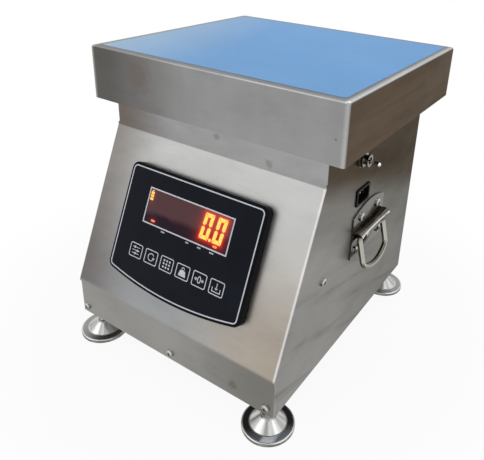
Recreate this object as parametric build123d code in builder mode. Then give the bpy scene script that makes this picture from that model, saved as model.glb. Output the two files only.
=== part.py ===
from build123d import *
from math import atan2, cos, degrees, hypot, radians, sin, sqrt, tan
import os

os.makedirs("parts", exist_ok=True)

# Bench platform scale, millimetres. +Z is up, the display faces -Y and +X is the side with the mains inlet.
# The origin is on the floor, under the middle of the footprint.

# Housing, seen from the side: a tall neck at the back, a sloping face and a low apron in front.
sheet = 1.5                  # stainless sheet of the housing
bend = 3.0                   # outer radius of the folded corners
break_bend = 6.0             # outer radius of the fold between apron and slope
corner_return = 6.0          # how far each side sheet wraps round a corner
body_width = 260.0
body_depth = 301.0           # at the base, front to rear
foot_gap = 30.0              # floor to the underside of the housing
apron_height = 42.0
slope_rise = 162.0
neck_height = 56.0           # from the slope's upper edge to the deck

# Weighing pan, a folded tray that hangs over the neck
pan_width = 300.0
pan_depth = 266.0
pan_skirt = 56.5
pan_sheet = 1.2
pan_corner = 3.0
pan_edge = 2.5
pan_over_deck = 30.0         # deck to the pan's upper face
pan_front_overhang = 12.0
pan_rear_overhang = 24.0
film = 0.2                   # protective film on the pan
film_margin = 8.0            # bare rim round the film

# Levelling feet
foot_pad_dia = 52.0
foot_pad_rim = 3.5
foot_edge_round = 1.1
foot_dish = 0.8              # how much the flat ring rises towards the cone
foot_cone_base = 35.0
foot_cone_dia = 16.0
foot_cone_top = 12.5
foot_collar_dia = 14.0
foot_collar = 4.5
foot_stud_dia = 10.0
foot_stud_top = 52.0
foot_inset_x = 15.0
foot_inset_y = 15.0
nut_flats = 17.0
lock_nut_height = 6.0
weld_nut_height = 8.0
thread_gap = 0.06            # radial clearance that stands for a thread
nut_corner = 1.12            # diameter of a nut's turned corners, as a share of its flats

# Base tray and the screws round it
tray_flange = 15.0
tray_corner = 4.0
fit_gap = 0.3                # clearance between pieces that slide together
apron_screw_height = 8.0
apron_screw_inset = 8.5
apron_screw_middle = 4.0     # the middle one sits a little to the right
housing_screw_dia = 4.0
housing_screw_length = 5.0
housing_head_dia = 8.0
head_dome = 0.35             # dome of a pan head, as a share of its height
recess_reach = 0.55          # cross recess, as a share of the head's diameter
recess_slot = 0.14
recess_depth = 0.5           # as a share of the head's height
housing_head_height = 2.8

# Load cell and what carries the pan
cell_length = 130.0
cell_width = 30.0
cell_height = 22.0
cell_deck_gap = 6.5
cell_eye = 14.0
cell_eye_spacing = 34.0
cell_web_slot = 5.0
cell_end = 30.0              # clamped length at each end
deck_gap = 10.0              # load cell's post to the edge of the hole in the deck
deck_corner = 4.0
cell_bolt_dia = 6.0
cell_bolt_flats = 10.0
cell_bolt_head = 4.8
cell_bolt_pitch = 15.0
cell_thread = 14.0
bolt_end_gap = 2.0
lower_spacer = 6.0
bridge_width = 60.0
bridge_leg = 25.0
bridge_sheet = 3.0
spider_gap = 9.0
spider_plate = 9.0
spider_arm = 26.0
hub_margin = 24.0            # hub beyond the load cell, both sides together
hub_corner = 8.0
pad_dia = 22.0
pad_inset_x = 44.0
pad_inset_y = 42.0
stop_dia = 8.0
stop_gap = 0.7
stop_inset = 36.0            # pad to stop, along the arm
stop_nut = 5.0
stop_nut_flats = 13.0

# Indicator on the slope, in distances down the slope from its upper edge
bezel_width = 171.0
bezel_top = 30.0
bezel_side = 113.0           # straight side, top edge to lower corner
bezel_bow = 10.0             # how far the lower edge bows out
bezel_proud = 9.7
bezel_wall = 2.5
bezel_face = 3.0
bezel_corner = 8.0
bezel_round = 1.2
overlay = 0.3
overlay_margin = 2.0
gasket = 1.0
gasket_margin = 1.0
window_width = 110.0
window_height = 37.0
window_drop = 21.0           # bezel's top edge to the window's
window_pane = 2.0
window_ledge = 2.5
pocket_margin = 10.5         # bezel's side to the hole in the slope behind it
pocket_height = 100.0
pocket_drop = 7.0
cover_depth = 24.0
cover_wall = 2.0
cover_flange = 5.0
cover_side_flange = 8.5
cover_post = 8.0
indicator_screw_dia = 3.0
indicator_boss_dia = 6.0
boss_gap = 0.6               # pocket's side to a boss
indicator_head_dia = 5.5
indicator_head_height = 2.1
screw_end_gap = 1.0          # end of a screw to the bottom of its hole
indicator_screw_depth = 5.0
board = 1.6
board_drop = 0.8             # board's front face below the slope's face
board_gap = 1.5
digit_pitch = 14.2
digits = 6
digit_module_height = 30.0
digit_offset = 3.4           # middle of the digits, right of the window's middle
digit_front_gap = 0.5
digit_drop = 16.3            # window's upper edge to the middle of the digits

# Keys
key_count = 6
key_pitch = 21.04
key_width = 17.0
key_height = 14.5
key_corner = 2.0
key_drop = 87.2              # bezel's top edge to the middle of the keys
key_cap = 1.2
key_proud = 0.1
key_travel = 0.4
key_stem = 5.0
switch_size = 6.0
switch_height = 5.0
switch_button = 1.0
switch_button_dia = 4.0
hair_gap = 0.1               # between pieces that all but touch

# Carrying handles on the sides
handle_back = 131.2          # middle of the handle, in front of the housing's rear face
handle_plate_width = 74.0
handle_over_pin = 23.0       # pin to the plate's upper corners
handle_under_pin = 26.0      # pin to the plate's lower edge
handle_plate = 1.5
handle_arch = 8.0
handle_corner = 2.0
handle_pin_height = 153.0
handle_pin_out = 5.4         # bail's pin, out from the housing's side
bail_wire = 6.0
bail_span = 57.0
bail_leg = 32.0
bail_bow = 8.5
bail_corner = 8.0
bail_lean = 13.5
bail_hook = 10.0
bail_bend = 4.8              # radius where the leg turns into the pin
cheek_gap = 0.2
pin_gap = 0.05
barrel_waist = 5.0
barrel_mouth = 7.6
barrel_length = 69.0
barrel_flare = 15.0          # middle of the barrel to where it starts to flare
barrel_cheek = 3.0
handle_slot_gap = 0.5        # hood above the bail's leg when it is swung out
handle_screw_dia = 5.0
handle_head_dia = 9.0
handle_head_height = 2.6
handle_screw_length = 14.0
handle_upper_screws = 39.0
handle_lower_screws = 56.5
handle_upper_rise = 18.5     # pin to the upper screws
handle_lower_drop = 17.0     # pin to the lower screws
handle_nut = 4.0
handle_nut_flats = 8.0
hole_gap = 0.25              # radial clearance round a screw

# Mains inlet and power switch
inlet_width = 30.0
inlet_height = 19.0
inlet_corner = 2.5
inlet_lip = 1.5
inlet_body_width = 27.0
inlet_body_height = 16.6
inlet_body_depth = 22.0
inlet_recess = 16.0
inlet_wall = 1.3
inlet_back = 151.0           # middle of the inlet, in front of the housing's rear face
inlet_centre_height = 197.0
inlet_pin_thick = 2.0
inlet_pin_tall = 4.0
inlet_pin_pitch = 7.0
inlet_pin_length = 12.0
switch_back = 162.0
switch_centre_height = 240.0
switch_bush_dia = 10.0
switch_bush_out = 9.0
switch_collar_dia = 12.5
switch_collar = 1.6
switch_bore = 7.0
switch_block_tall = 15.0
switch_block_wide = 28.0
switch_block_deep = 20.0
switch_nut_flats = 14.0
switch_nut = 3.0
switch_washer = 1.0
switch_washer_dia = 17.0
lever_pivot_out = 4.0
lever_length = 17.5
lever_tip_dia = 4.6
lever_neck_dia = 2.8
lever_ball_dia = 6.4
lever_throw = 25.0

# Power shelf, transformer, battery and board inside
shelf_height = 122.0
shelf_flange = 20.0
shelf_sheet = 1.5
shelf_depth = 60.0
shelf_front_back = 236.0
shelf_rear_back = 80.0
shelf_screw_back = 224.0
shelf_screw_height = 134.0
core_width = 48.0
core_height = 40.0
core_depth = 17.0
coil_depth = 36.0
coil_width = 30.0
coil_height = 26.0
transformer_back = 190.0
battery_width = 70.0
battery_depth = 47.0
battery_height = 101.0
battery_left = 65.0          # middle of the battery, left of the housing's middle
battery_back = 75.0
battery_corner = 2.0
terminal = 5.0
terminal_sheet = 1.0
strap = 1.2
strap_width = 20.0
strap_foot = 14.0
main_board_width = 120.0
main_board_depth = 80.0
main_board_right = 30.0
main_board_back = 165.0
standoff = 8.0
standoff_dia = 7.0
standoff_inset = 5.0
chip = 20.0
connector_width = 10.0
connector_length = 40.0
capacitor_dia = 8.0
component_height = 8.0

# Places worked out from the sizes above
half_width = body_width / 2
inner_half = half_width - sheet
base_z = foot_gap
apron_z = base_z + apron_height
break_z = apron_z + slope_rise
deck_z = break_z + neck_height
pan_z = deck_z + pan_over_deck
floor_z = base_z + sheet                     # upper face of the tray
foot_reach = foot_pad_dia / 2 - foot_inset_y
overall_depth = foot_reach + body_depth + pan_rear_overhang
front_y = foot_reach - overall_depth / 2
rear_y = front_y + body_depth
neck_depth = pan_depth - pan_front_overhang - pan_rear_overhang
neck_y = rear_y - neck_depth
pan_y = rear_y + pan_rear_overhang - pan_depth / 2
slope_run = neck_y - front_y
slope_length = hypot(slope_run, slope_rise)
foot_x = half_width - foot_inset_x
foot_front_y = front_y + foot_inset_y
foot_rear_y = rear_y - foot_inset_y
foot_places = {
    "front_left": (-foot_x, foot_front_y),
    "front_right": (foot_x, foot_front_y),
    "rear_left": (-foot_x, foot_rear_y),
    "rear_right": (foot_x, foot_rear_y),
}
foot_holes = list(foot_places.values())
side_plane = Plane.YZ
slope_normal = (0, -slope_rise / slope_length, slope_run / slope_length)
slope_plane = Plane(origin=(0, neck_y, break_z), x_dir=(1, 0, 0), z_dir=slope_normal)
slope_axis = Axis((0, neck_y, break_z), slope_normal)

handle_y = rear_y - handle_back
handle_upper_height = handle_pin_height + handle_upper_rise
handle_lower_height = handle_pin_height - handle_lower_drop
handle_plate_top = handle_pin_height + handle_over_pin
handle_plate_bottom = handle_pin_height - handle_under_pin
handle_holes = [(handle_y + sign * handle_upper_screws / 2, handle_upper_height) for sign in (-1, 1)]
handle_holes += [(handle_y + sign * handle_lower_screws / 2, handle_lower_height) for sign in (-1, 1)]
inlet_y = rear_y - inlet_back
switch_y = rear_y - switch_back
shelf_screw_y = rear_y - shelf_screw_back
apron_screws = [-half_width + apron_screw_inset, apron_screw_middle, half_width - apron_screw_inset]
rear_screws = apron_screws
screw_z = base_z + apron_screw_height
apron_fold_top = apron_z - break_bend / 2    # the corner folds stop short of the slope
neck_fold_bottom = break_z + bend

cell_top = deck_z - sheet - cell_deck_gap
cell_bottom = cell_top - cell_height
bridge_top = cell_bottom - lower_spacer
spider_bottom = deck_z + spider_gap
spider_top = spider_bottom + spider_plate
pad_x = pan_width / 2 - pad_inset_x
pad_y = pan_depth / 2 - pad_inset_y
arm_reach = hypot(pad_x, pad_y)
arm_angle = atan2(pad_y, pad_x)
stop_reach = arm_reach - stop_inset
pad_places = [(sx * pad_x, pan_y + sy * pad_y) for sx in (-1, 1) for sy in (-1, 1)]
stop_places = [
    (sx * stop_reach * cos(arm_angle), pan_y + sy * stop_reach * sin(arm_angle)) for sx in (-1, 1) for sy in (-1, 1)
]
fixed_end_x = -(cell_length - cell_end) / 2
free_end_x = (cell_length - cell_end) / 2


# Indicator. Local axes on the slope: x to the right, y up the slope, z out of it.
bow_radius = (bezel_width / 2) ** 2 / (2 * bezel_bow) + bezel_bow / 2
bow_lowest = -(bezel_top + bezel_side + bezel_bow)
window_y = -(bezel_top + window_drop + window_height / 2)
keys_y = -(bezel_top + key_drop)
digits_y = -(bezel_top + window_drop + digit_drop)
key_places = [((i - (key_count - 1) / 2) * key_pitch, keys_y) for i in range(key_count)]
pane_back = bezel_proud - window_pane
digit_front = bezel_proud - bezel_face - digit_front_gap
board_front = -board_drop
pocket_width = bezel_width - 2 * pocket_margin
pocket_centre = (0, -(bezel_top + pocket_drop + pocket_height / 2))
boss_x = (pocket_width + indicator_boss_dia) / 2 + boss_gap
boss_reach = pocket_height / 2 - indicator_boss_dia
boss_places = [(sx * boss_x, pocket_centre[1] + sy * boss_reach) for sx in (-1, 1) for sy in (-1, 1)]


def save(name, label):
    """Label a finished piece and write it."""
    name.part.label = label
    export_step(name.part, f"parts/{label}.step")


def side_profile(inset=0.0):
    """Outline of the housing seen from the side, moved in by a sheet thickness."""
    lean = atan2(slope_run, slope_rise)
    turn = inset * tan(lean / 2)
    points = [
        (front_y + inset, base_z),
        (front_y + inset, apron_z - turn),
        (neck_y + inset, break_z - turn),
        (neck_y + inset, deck_z - sheet),
        (rear_y - inset, deck_z - sheet),
        (rear_y - inset, base_z),
    ]
    return points


# Side panels: flat sheets that wrap round the apron, the neck and the rear corners
def folded_corner(side, edge_y, inward):
    """Plan section of a folded corner: a quarter bend and the return beyond it."""

    def at(along, across):
        return (side * (half_width - along), edge_y + inward * across)

    outer_mid = bend * (1 - sqrt(0.5))
    inner_mid = bend - (bend - sheet) * sqrt(0.5)
    with BuildSketch() as section:
        with BuildLine():
            ThreePointArc(at(0, bend), at(outer_mid, outer_mid), at(bend, 0))
            Polyline(at(bend, 0), at(corner_return, 0), at(corner_return, sheet), at(bend, sheet))
            ThreePointArc(at(bend, sheet), at(inner_mid, inner_mid), at(sheet, bend))
            Line(at(sheet, bend), at(0, bend))
        make_face()
    return section.sketch


def side_panel(side):
    """The panel on the right for side 1, on the left for side -1."""
    inner = inner_half if side > 0 else -half_width
    neck_top = deck_z - sheet
    corners = [
        (front_y, 1, base_z, apron_fold_top),
        (neck_y, 1, neck_fold_bottom, neck_top),
        (rear_y, -1, base_z, neck_top),
    ]
    with BuildPart() as panel:
        with BuildSketch(side_plane.offset(inner)):
            with BuildLine():
                Polyline(*side_profile(), close=True)
            face = make_face()
            fold = face.vertices().sort_by_distance((inner, front_y, apron_z))[0]
            fillet(fold, break_bend)
        extrude(amount=sheet)
        for edge_y, inward, low, high in corners:
            middle_x = side * (half_width - sheet / 2)
            with Locations((middle_x, edge_y + inward * bend / 2, (low + high) / 2)):
                Box(sheet, bend, high - low, mode=Mode.SUBTRACT)
            with BuildSketch(Plane.XY.offset(low)):
                add(folded_corner(side, edge_y, inward))
            extrude(amount=high - low)
        with BuildSketch(side_plane.offset(inner)):
            for place in handle_holes:
                with Locations(place):
                    Circle(handle_screw_dia / 2 + hole_gap)
            if side > 0:
                with Locations((inlet_y, inlet_centre_height)):
                    Rectangle(inlet_body_width + 2 * fit_gap, inlet_body_height + 2 * fit_gap)
                with Locations((switch_y, switch_centre_height)):
                    Circle(switch_bush_dia / 2 + hole_gap)
                with Locations((shelf_screw_y, shelf_screw_height)):
                    Circle(housing_screw_dia / 2 + hole_gap)
        extrude(amount=sheet, mode=Mode.SUBTRACT)
    return panel


for label, side in (("right_side_panel", 1), ("left_side_panel", -1)):
    panel = side_panel(side)
    save(panel, label)

# Front panel: apron, slope and neck folded from one sheet, set between the side panels
with BuildPart() as front_panel:
    with BuildSketch(side_plane):
        with BuildLine():
            outer_points = side_profile()[:4]
            FilletPolyline(*outer_points, radius=(break_bend, bend - sheet))
            inner_points = side_profile(sheet)[:4]
            FilletPolyline(*inner_points, radius=(break_bend - sheet, bend))
            Line(outer_points[0], inner_points[0])
            Line(outer_points[-1], inner_points[-1])
        make_face()
    extrude(amount=inner_half, both=True)
    for side in (-1, 1):
        strip = corner_return - sheet
        edge_x = side * (inner_half - strip / 2)
        with Locations((edge_x, front_y, (base_z + apron_fold_top) / 2)):
            Box(strip, 4 * sheet, apron_fold_top - base_z, mode=Mode.SUBTRACT)
        with Locations((edge_x, neck_y, (neck_fold_bottom + deck_z) / 2)):
            Box(strip, 4 * sheet, deck_z - neck_fold_bottom, mode=Mode.SUBTRACT)
    with BuildSketch(slope_plane):
        with Locations(pocket_centre):
            Rectangle(pocket_width, pocket_height)
        with Locations(*boss_places):
            Circle(indicator_screw_dia / 2 + hole_gap)
    extrude(amount=-3 * sheet, mode=Mode.SUBTRACT)
    with Locations(*[Plane((x, front_y, screw_z), x_dir=(1, 0, 0), z_dir=(0, -1, 0)) for x in apron_screws]):
        Hole(housing_screw_dia / 2 + hole_gap, depth=sheet * 2)
save(front_panel, "front_panel")

# Rear panel: a flat sheet between the rear folds
with BuildPart() as rear_panel:
    with BuildSketch(Plane.XZ.offset(sheet - rear_y)):
        with Locations((0, (base_z + deck_z - sheet) / 2)):
            Rectangle(body_width - 2 * corner_return, deck_z - sheet - base_z)
        with Locations(*[(x, screw_z) for x in rear_screws]):
            Circle(housing_screw_dia / 2 + hole_gap, mode=Mode.SUBTRACT)
    extrude(amount=-sheet)
save(rear_panel, "rear_panel")

# Top deck: a plate on the panels' upper edges, open where the load cell's post comes through
with BuildPart() as top_deck:
    with BuildSketch(Plane.XY.offset(deck_z - sheet)):
        with Locations((0, rear_y - neck_depth / 2)):
            RectangleRounded(body_width, neck_depth, bend)
        with Locations((free_end_x, pan_y)):
            RectangleRounded(
                cell_end + 2 * deck_gap, cell_width + 2 * deck_gap, deck_corner, mode=Mode.SUBTRACT
            )
        with Locations(*stop_places):
            Circle(stop_dia / 2 + thread_gap, mode=Mode.SUBTRACT)
    extrude(amount=sheet)
save(top_deck, "top_deck")

# Base tray: the underside, with a flange all round that the housing screws enter
with BuildPart() as base_tray:
    with BuildSketch(Plane.XY.offset(base_z)):
        with Locations((0, (front_y + rear_y) / 2)):
            RectangleRounded(2 * inner_half, body_depth - 2 * sheet, tray_corner)
    extrude(amount=tray_flange)
    with BuildSketch(Plane.XY.offset(floor_z)):
        with Locations((0, (front_y + rear_y) / 2)):
            RectangleRounded(2 * inner_half - 2 * sheet, body_depth - 4 * sheet, tray_corner - sheet)
    extrude(amount=tray_flange, mode=Mode.SUBTRACT)
    with BuildSketch(Plane.XY.offset(base_z)):
        with Locations(*foot_holes):
            Circle(foot_stud_dia / 2 + fit_gap)
    extrude(amount=sheet, mode=Mode.SUBTRACT)
    with BuildSketch(Plane.XZ):
        with Locations(*[(x, screw_z) for x in apron_screws]):
            Circle(housing_screw_dia / 2 + hole_gap)
    extrude(amount=body_depth, both=True, mode=Mode.SUBTRACT)
save(base_tray, "base_tray")

# Levelling feet: a moulded pad with a raised cone, and the stud it is moulded on
for corner, place in foot_places.items():
    with BuildPart() as foot_pad:
        with BuildSketch(Plane.XZ):
            with BuildLine():
                Polyline(
                    (0, 0),
                    (foot_pad_dia / 2, 0),
                    (foot_pad_dia / 2, foot_pad_rim),
                    (foot_cone_base / 2, foot_pad_rim + foot_dish),
                    (foot_cone_dia / 2, foot_cone_top),
                    (0, foot_cone_top),
                    close=True,
                )
            make_face()
        revolve(axis=Axis.Z)
        rim = foot_pad.edges().filter_by(GeomType.CIRCLE).group_by(Axis.Z)[1]
        fillet(rim, foot_edge_round)
        with Locations((0, 0, foot_cone_top)):
            Hole(foot_stud_dia / 2, depth=foot_cone_top - foot_pad_rim)
    foot_pad.part = foot_pad.part.moved(Location((*place, 0)))
    save(foot_pad, f"foot_pad_{corner}")
    with BuildPart() as foot_stud:
        with BuildSketch(Plane.XY.offset(foot_pad_rim)):
            with Locations(place):
                Circle(foot_stud_dia / 2)
        extrude(amount=foot_stud_top - foot_pad_rim)
        chamfer(foot_stud.edges().group_by(Axis.Z)[-1], foot_stud_dia / 10)
        with BuildSketch(Plane.XY.offset(foot_cone_top)):
            with Locations(place):
                Circle(foot_collar_dia / 2)
        extrude(amount=foot_collar)
    save(foot_stud, f"foot_stud_{corner}")


def hex_nuts(plane, places, flats, height, bore):
    """Hexagon nuts as separate solids, standing on a plane, with their outer corners turned off."""
    with BuildPart() as nuts:
        with BuildSketch(plane):
            with Locations(*places):
                RegularPolygon(flats / 2, 6, major_radius=False)
        extrude(amount=height)
        with BuildSketch(plane):
            with Locations(*places):
                Circle(flats * nut_corner / 2)
        extrude(amount=height, mode=Mode.INTERSECT)
        with BuildSketch(plane):
            with Locations(*places):
                Circle(bore / 2 + thread_gap)
        extrude(amount=height, mode=Mode.SUBTRACT)
    return nuts


# Two nuts on each stud: a lock nut under the tray and one welded inside it
lock_nut_plane = Plane.XY.offset(base_z - lock_nut_height)
with BuildPart() as foot_nuts:
    add(hex_nuts(lock_nut_plane, foot_holes, nut_flats, lock_nut_height, foot_stud_dia).part)
    add(hex_nuts(Plane.XY.offset(floor_z), foot_holes, nut_flats, weld_nut_height, foot_stud_dia).part)
save(foot_nuts, "foot_nuts")


def pan_head_screws(planes, dia, length, head_dia, head_height):
    """Pan-head screws as separate solids. Each plane lies on the seat, facing out."""
    dome = head_height * head_dome
    dome_radius = ((head_dia / 2) ** 2 + dome**2) / (2 * dome)
    edge = (head_dia / 2, head_height - dome)
    with BuildPart() as screw:
        with BuildSketch(Plane.XZ):
            with BuildLine():
                Polyline((0, -length), (dia / 2, -length), (dia / 2, 0), (head_dia / 2, 0), edge)
                RadiusArc(edge, (0, head_height), -dome_radius)
                Line((0, head_height), (0, -length))
            make_face()
        revolve(axis=Axis.Z)
        reach = head_dia * recess_reach
        slot = head_dia * recess_slot
        with Locations((0, 0, head_height)):
            Box(reach, slot, 2 * head_height * recess_depth, mode=Mode.SUBTRACT)
            Box(slot, reach, 2 * head_height * recess_depth, mode=Mode.SUBTRACT)
    with BuildPart() as screws:
        with Locations(*planes):
            add(screw.part)
    return screws


front_screw_planes = [Plane((x, front_y, screw_z), x_dir=(1, 0, 0), z_dir=(0, -1, 0)) for x in apron_screws]
rear_screw_planes = [Plane((x, rear_y, screw_z), x_dir=(1, 0, 0), z_dir=(0, 1, 0)) for x in rear_screws]
side_screw_plane = Plane((half_width, shelf_screw_y, shelf_screw_height), x_dir=(0, 1, 0), z_dir=(1, 0, 0))
housing_screws = pan_head_screws(
    front_screw_planes + rear_screw_planes + [side_screw_plane],
    housing_screw_dia,
    housing_screw_length,
    housing_head_dia,
    housing_head_height,
)
save(housing_screws, "housing_screws")

# Bridge: an upturned channel across the neck that carries the load cell
with BuildPart() as load_cell_bridge:
    with BuildSketch(side_plane):
        with Locations((pan_y, bridge_top - bridge_leg / 2)):
            Rectangle(bridge_width, bridge_leg)
        with Locations((pan_y, bridge_top - bridge_sheet - bridge_leg / 2)):
            Rectangle(bridge_width - 2 * bridge_sheet, bridge_leg, mode=Mode.SUBTRACT)
    extrude(amount=inner_half, both=True)
    with Locations((fixed_end_x, pan_y, bridge_top)):
        with GridLocations(cell_bolt_pitch, cell_bolt_pitch, 2, 2):
            Hole(cell_bolt_dia / 2 + hole_gap, depth=bridge_sheet)
save(load_cell_bridge, "load_cell_bridge")

# Load cell: a beam with two eyes and a slot between, held at one end and loaded at the other
with BuildPart() as load_cell:
    with Locations((0, pan_y, (cell_top + cell_bottom) / 2)):
        Box(cell_length, cell_width, cell_height)
    with BuildSketch(Plane.XZ.offset(-pan_y)):
        with Locations((0, (cell_top + cell_bottom) / 2)):
            with Locations((-cell_eye_spacing / 2, 0), (cell_eye_spacing / 2, 0)):
                Circle(cell_eye / 2)
            Rectangle(cell_eye_spacing, cell_web_slot)
    extrude(amount=cell_width, both=True, mode=Mode.SUBTRACT)
    with Locations((free_end_x, pan_y, cell_top)):
        with GridLocations(cell_bolt_pitch, cell_bolt_pitch, 2, 2):
            Hole(cell_bolt_dia / 2 + thread_gap, depth=cell_thread)
    with Locations(Plane((fixed_end_x, pan_y, cell_bottom), x_dir=(1, 0, 0), z_dir=(0, 0, -1))):
        with GridLocations(cell_bolt_pitch, cell_bolt_pitch, 2, 2):
            Hole(cell_bolt_dia / 2 + thread_gap, depth=cell_thread)
save(load_cell, "load_cell")


def cell_spacer(end_x, low, high):
    """Block between the load cell's end and what it is bolted to."""
    with BuildPart() as block:
        with Locations((end_x, pan_y, (low + high) / 2)):
            Box(cell_end, cell_width, high - low)
        with Locations((end_x, pan_y, high)):
            with GridLocations(cell_bolt_pitch, cell_bolt_pitch, 2, 2):
                Hole(cell_bolt_dia / 2 + hole_gap, depth=high - low)
    return block


lower_cell_spacer = cell_spacer(fixed_end_x, bridge_top, cell_bottom)
save(lower_cell_spacer, "lower_cell_spacer")
upper_cell_spacer = cell_spacer(free_end_x, cell_top, spider_bottom)
save(upper_cell_spacer, "upper_cell_spacer")

bolt_offsets = [(sx * cell_bolt_pitch / 2, sy * cell_bolt_pitch / 2) for sx in (-1, 1) for sy in (-1, 1)]
bolt_depth = cell_thread - bolt_end_gap
with BuildPart() as lower_cell_bolts:
    under = bridge_top - bridge_sheet
    places = [(fixed_end_x + dx, pan_y + dy) for dx, dy in bolt_offsets]
    with BuildSketch(Plane.XY.offset(under - cell_bolt_head)):
        with Locations(*places):
            RegularPolygon(cell_bolt_flats / 2, 6, major_radius=False)
    extrude(amount=cell_bolt_head)
    with BuildSketch(Plane.XY.offset(under)):
        with Locations(*places):
            Circle(cell_bolt_dia / 2)
    extrude(amount=bridge_sheet + lower_spacer + bolt_depth)
save(lower_cell_bolts, "lower_cell_bolts")

with BuildPart() as upper_cell_bolts:
    places = [(free_end_x + dx, pan_y + dy) for dx, dy in bolt_offsets]
    with BuildSketch(Plane.XY.offset(spider_top)):
        with Locations(*places):
            RegularPolygon(cell_bolt_flats / 2, 6, major_radius=False)
    extrude(amount=cell_bolt_head)
    with BuildSketch(Plane.XY.offset(spider_top)):
        with Locations(*places):
            Circle(cell_bolt_dia / 2)
    extrude(amount=-(spider_top - cell_top + bolt_depth))
save(upper_cell_bolts, "upper_cell_bolts")

# Spider: four arms from a hub, each ending in the seat of a rubber pad
with BuildPart() as pan_spider:
    with BuildSketch(Plane.XY.offset(spider_bottom)):
        with Locations((0, pan_y)):
            for angle in (degrees(arm_angle), -degrees(arm_angle)):
                SlotCenterToCenter(2 * arm_reach, spider_arm, rotation=angle)
            RectangleRounded(cell_length + hub_margin, cell_width + hub_margin, hub_corner)
    extrude(amount=spider_plate)
    with Locations((free_end_x, pan_y, spider_top)):
        with GridLocations(cell_bolt_pitch, cell_bolt_pitch, 2, 2):
            Hole(cell_bolt_dia / 2 + hole_gap, depth=spider_plate)
save(pan_spider, "pan_spider")

# Overload stops: screws in the deck, locked by a nut, that meet the arms past full load
with BuildPart() as overload_stops:
    with BuildSketch(Plane.XY.offset(deck_z - sheet - stop_nut)):
        with Locations(*stop_places):
            Circle(stop_dia / 2)
    extrude(amount=sheet + stop_nut + spider_gap - stop_gap)
    with BuildSketch(Plane.XY.offset(deck_z)):
        with Locations(*stop_places):
            RegularPolygon(stop_nut_flats / 2, 6, major_radius=False)
    extrude(amount=stop_nut)
save(overload_stops, "overload_stops")

# Rubber pads between the spider and the pan
pan_under = pan_z - pan_sheet
with BuildPart() as spider_pads:
    with BuildSketch(Plane.XY.offset(spider_top)):
        with Locations(*pad_places):
            Circle(pad_dia / 2)
    extrude(amount=pan_under - spider_top)
save(spider_pads, "spider_pads")

# Pan: a shallow tray, open below, with folded corners and rounded upper edges
with BuildPart() as pan:
    with BuildSketch(Plane.XY.offset(pan_z - pan_skirt)):
        with Locations((0, pan_y)):
            RectangleRounded(pan_width, pan_depth, pan_corner)
    extrude(amount=pan_skirt)
    fillet(pan.faces().sort_by(Axis.Z)[-1].edges(), pan_edge)
    with BuildSketch(Plane.XY.offset(pan_z - pan_skirt)):
        with Locations((0, pan_y)):
            RectangleRounded(pan_width - 2 * pan_sheet, pan_depth - 2 * pan_sheet, pan_corner - pan_sheet)
    extrude(amount=pan_skirt - pan_sheet, mode=Mode.SUBTRACT)
save(pan, "pan")

# Protective film on the pan
with BuildPart() as pan_film:
    with BuildSketch(Plane.XY.offset(pan_z)):
        with Locations((0, pan_y)):
            RectangleRounded(pan_width - 2 * film_margin, pan_depth - 2 * film_margin, film_margin / 2)
    extrude(amount=film)
save(pan_film, "pan_film")

def bezel_outline(inset=0.0):
    """Front outline of the indicator: straight top and sides, lower edge bowed out."""
    half = bezel_width / 2 - inset
    radius = bow_radius - inset
    bow_centre = bow_lowest + bow_radius
    low = bow_centre - sqrt(radius**2 - half**2)
    high = -(bezel_top + inset)
    with BuildSketch() as outline:
        with BuildLine():
            Polyline((-half, low), (-half, high), (half, high), (half, low))
            ThreePointArc((half, low), (0, bow_centre - radius), (-half, low))
        make_face()
        fillet(outline.vertices(), max(bezel_corner - inset, bezel_corner / 4))
    return outline.sketch


def slope_level(height):
    """The slope's plane, lifted to a height over the outer face."""
    return slope_plane.offset(height)


with BuildPart() as indicator_bezel:
    with BuildSketch(slope_level(gasket)):
        add(bezel_outline())
    extrude(amount=bezel_proud - gasket)
    fillet(indicator_bezel.faces().sort_by(slope_axis)[-1].edges(), bezel_round)
    with BuildSketch(slope_level(gasket)):
        add(bezel_outline(bezel_wall))
    extrude(amount=bezel_proud - bezel_face - gasket, mode=Mode.SUBTRACT)
    with BuildSketch(slope_level(gasket)):
        with Locations(*boss_places):
            Circle(indicator_boss_dia / 2)
    extrude(amount=bezel_proud - bezel_face - gasket)
    with BuildSketch(slope_level(pane_back)):
        with Locations((0, window_y)):
            Rectangle(window_width + fit_gap, window_height + fit_gap)
    extrude(amount=window_pane, mode=Mode.SUBTRACT)
    with BuildSketch(slope_level(bezel_proud - bezel_face)):
        with Locations((0, window_y)):
            Rectangle(window_width - 2 * window_ledge, window_height - 2 * window_ledge)
    extrude(amount=bezel_face, mode=Mode.SUBTRACT)
    with BuildSketch(slope_level(bezel_proud + overlay + key_proud - key_cap - key_travel - fit_gap)):
        with Locations(*key_places):
            RectangleRounded(key_width + 2 * fit_gap, key_height + 2 * fit_gap, key_corner)
    extrude(amount=key_cap * 2, mode=Mode.SUBTRACT)
    with BuildSketch(slope_level(bezel_proud - bezel_face)):
        with Locations(*key_places):
            Circle(key_stem / 2 + fit_gap)
    extrude(amount=bezel_face, mode=Mode.SUBTRACT)
    with BuildSketch(slope_level(gasket)):
        with Locations(*boss_places):
            Circle(indicator_screw_dia / 2 + thread_gap)
    extrude(amount=indicator_screw_depth, mode=Mode.SUBTRACT)
save(indicator_bezel, "indicator_bezel")

with BuildPart() as indicator_gasket:
    with BuildSketch(slope_level(0)):
        add(bezel_outline(gasket_margin))
        with Locations(pocket_centre):
            Rectangle(pocket_width, pocket_height, mode=Mode.SUBTRACT)
        with Locations(*boss_places):
            Circle(indicator_screw_dia / 2 + hole_gap, mode=Mode.SUBTRACT)
    extrude(amount=gasket)
save(indicator_gasket, "indicator_gasket")

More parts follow.
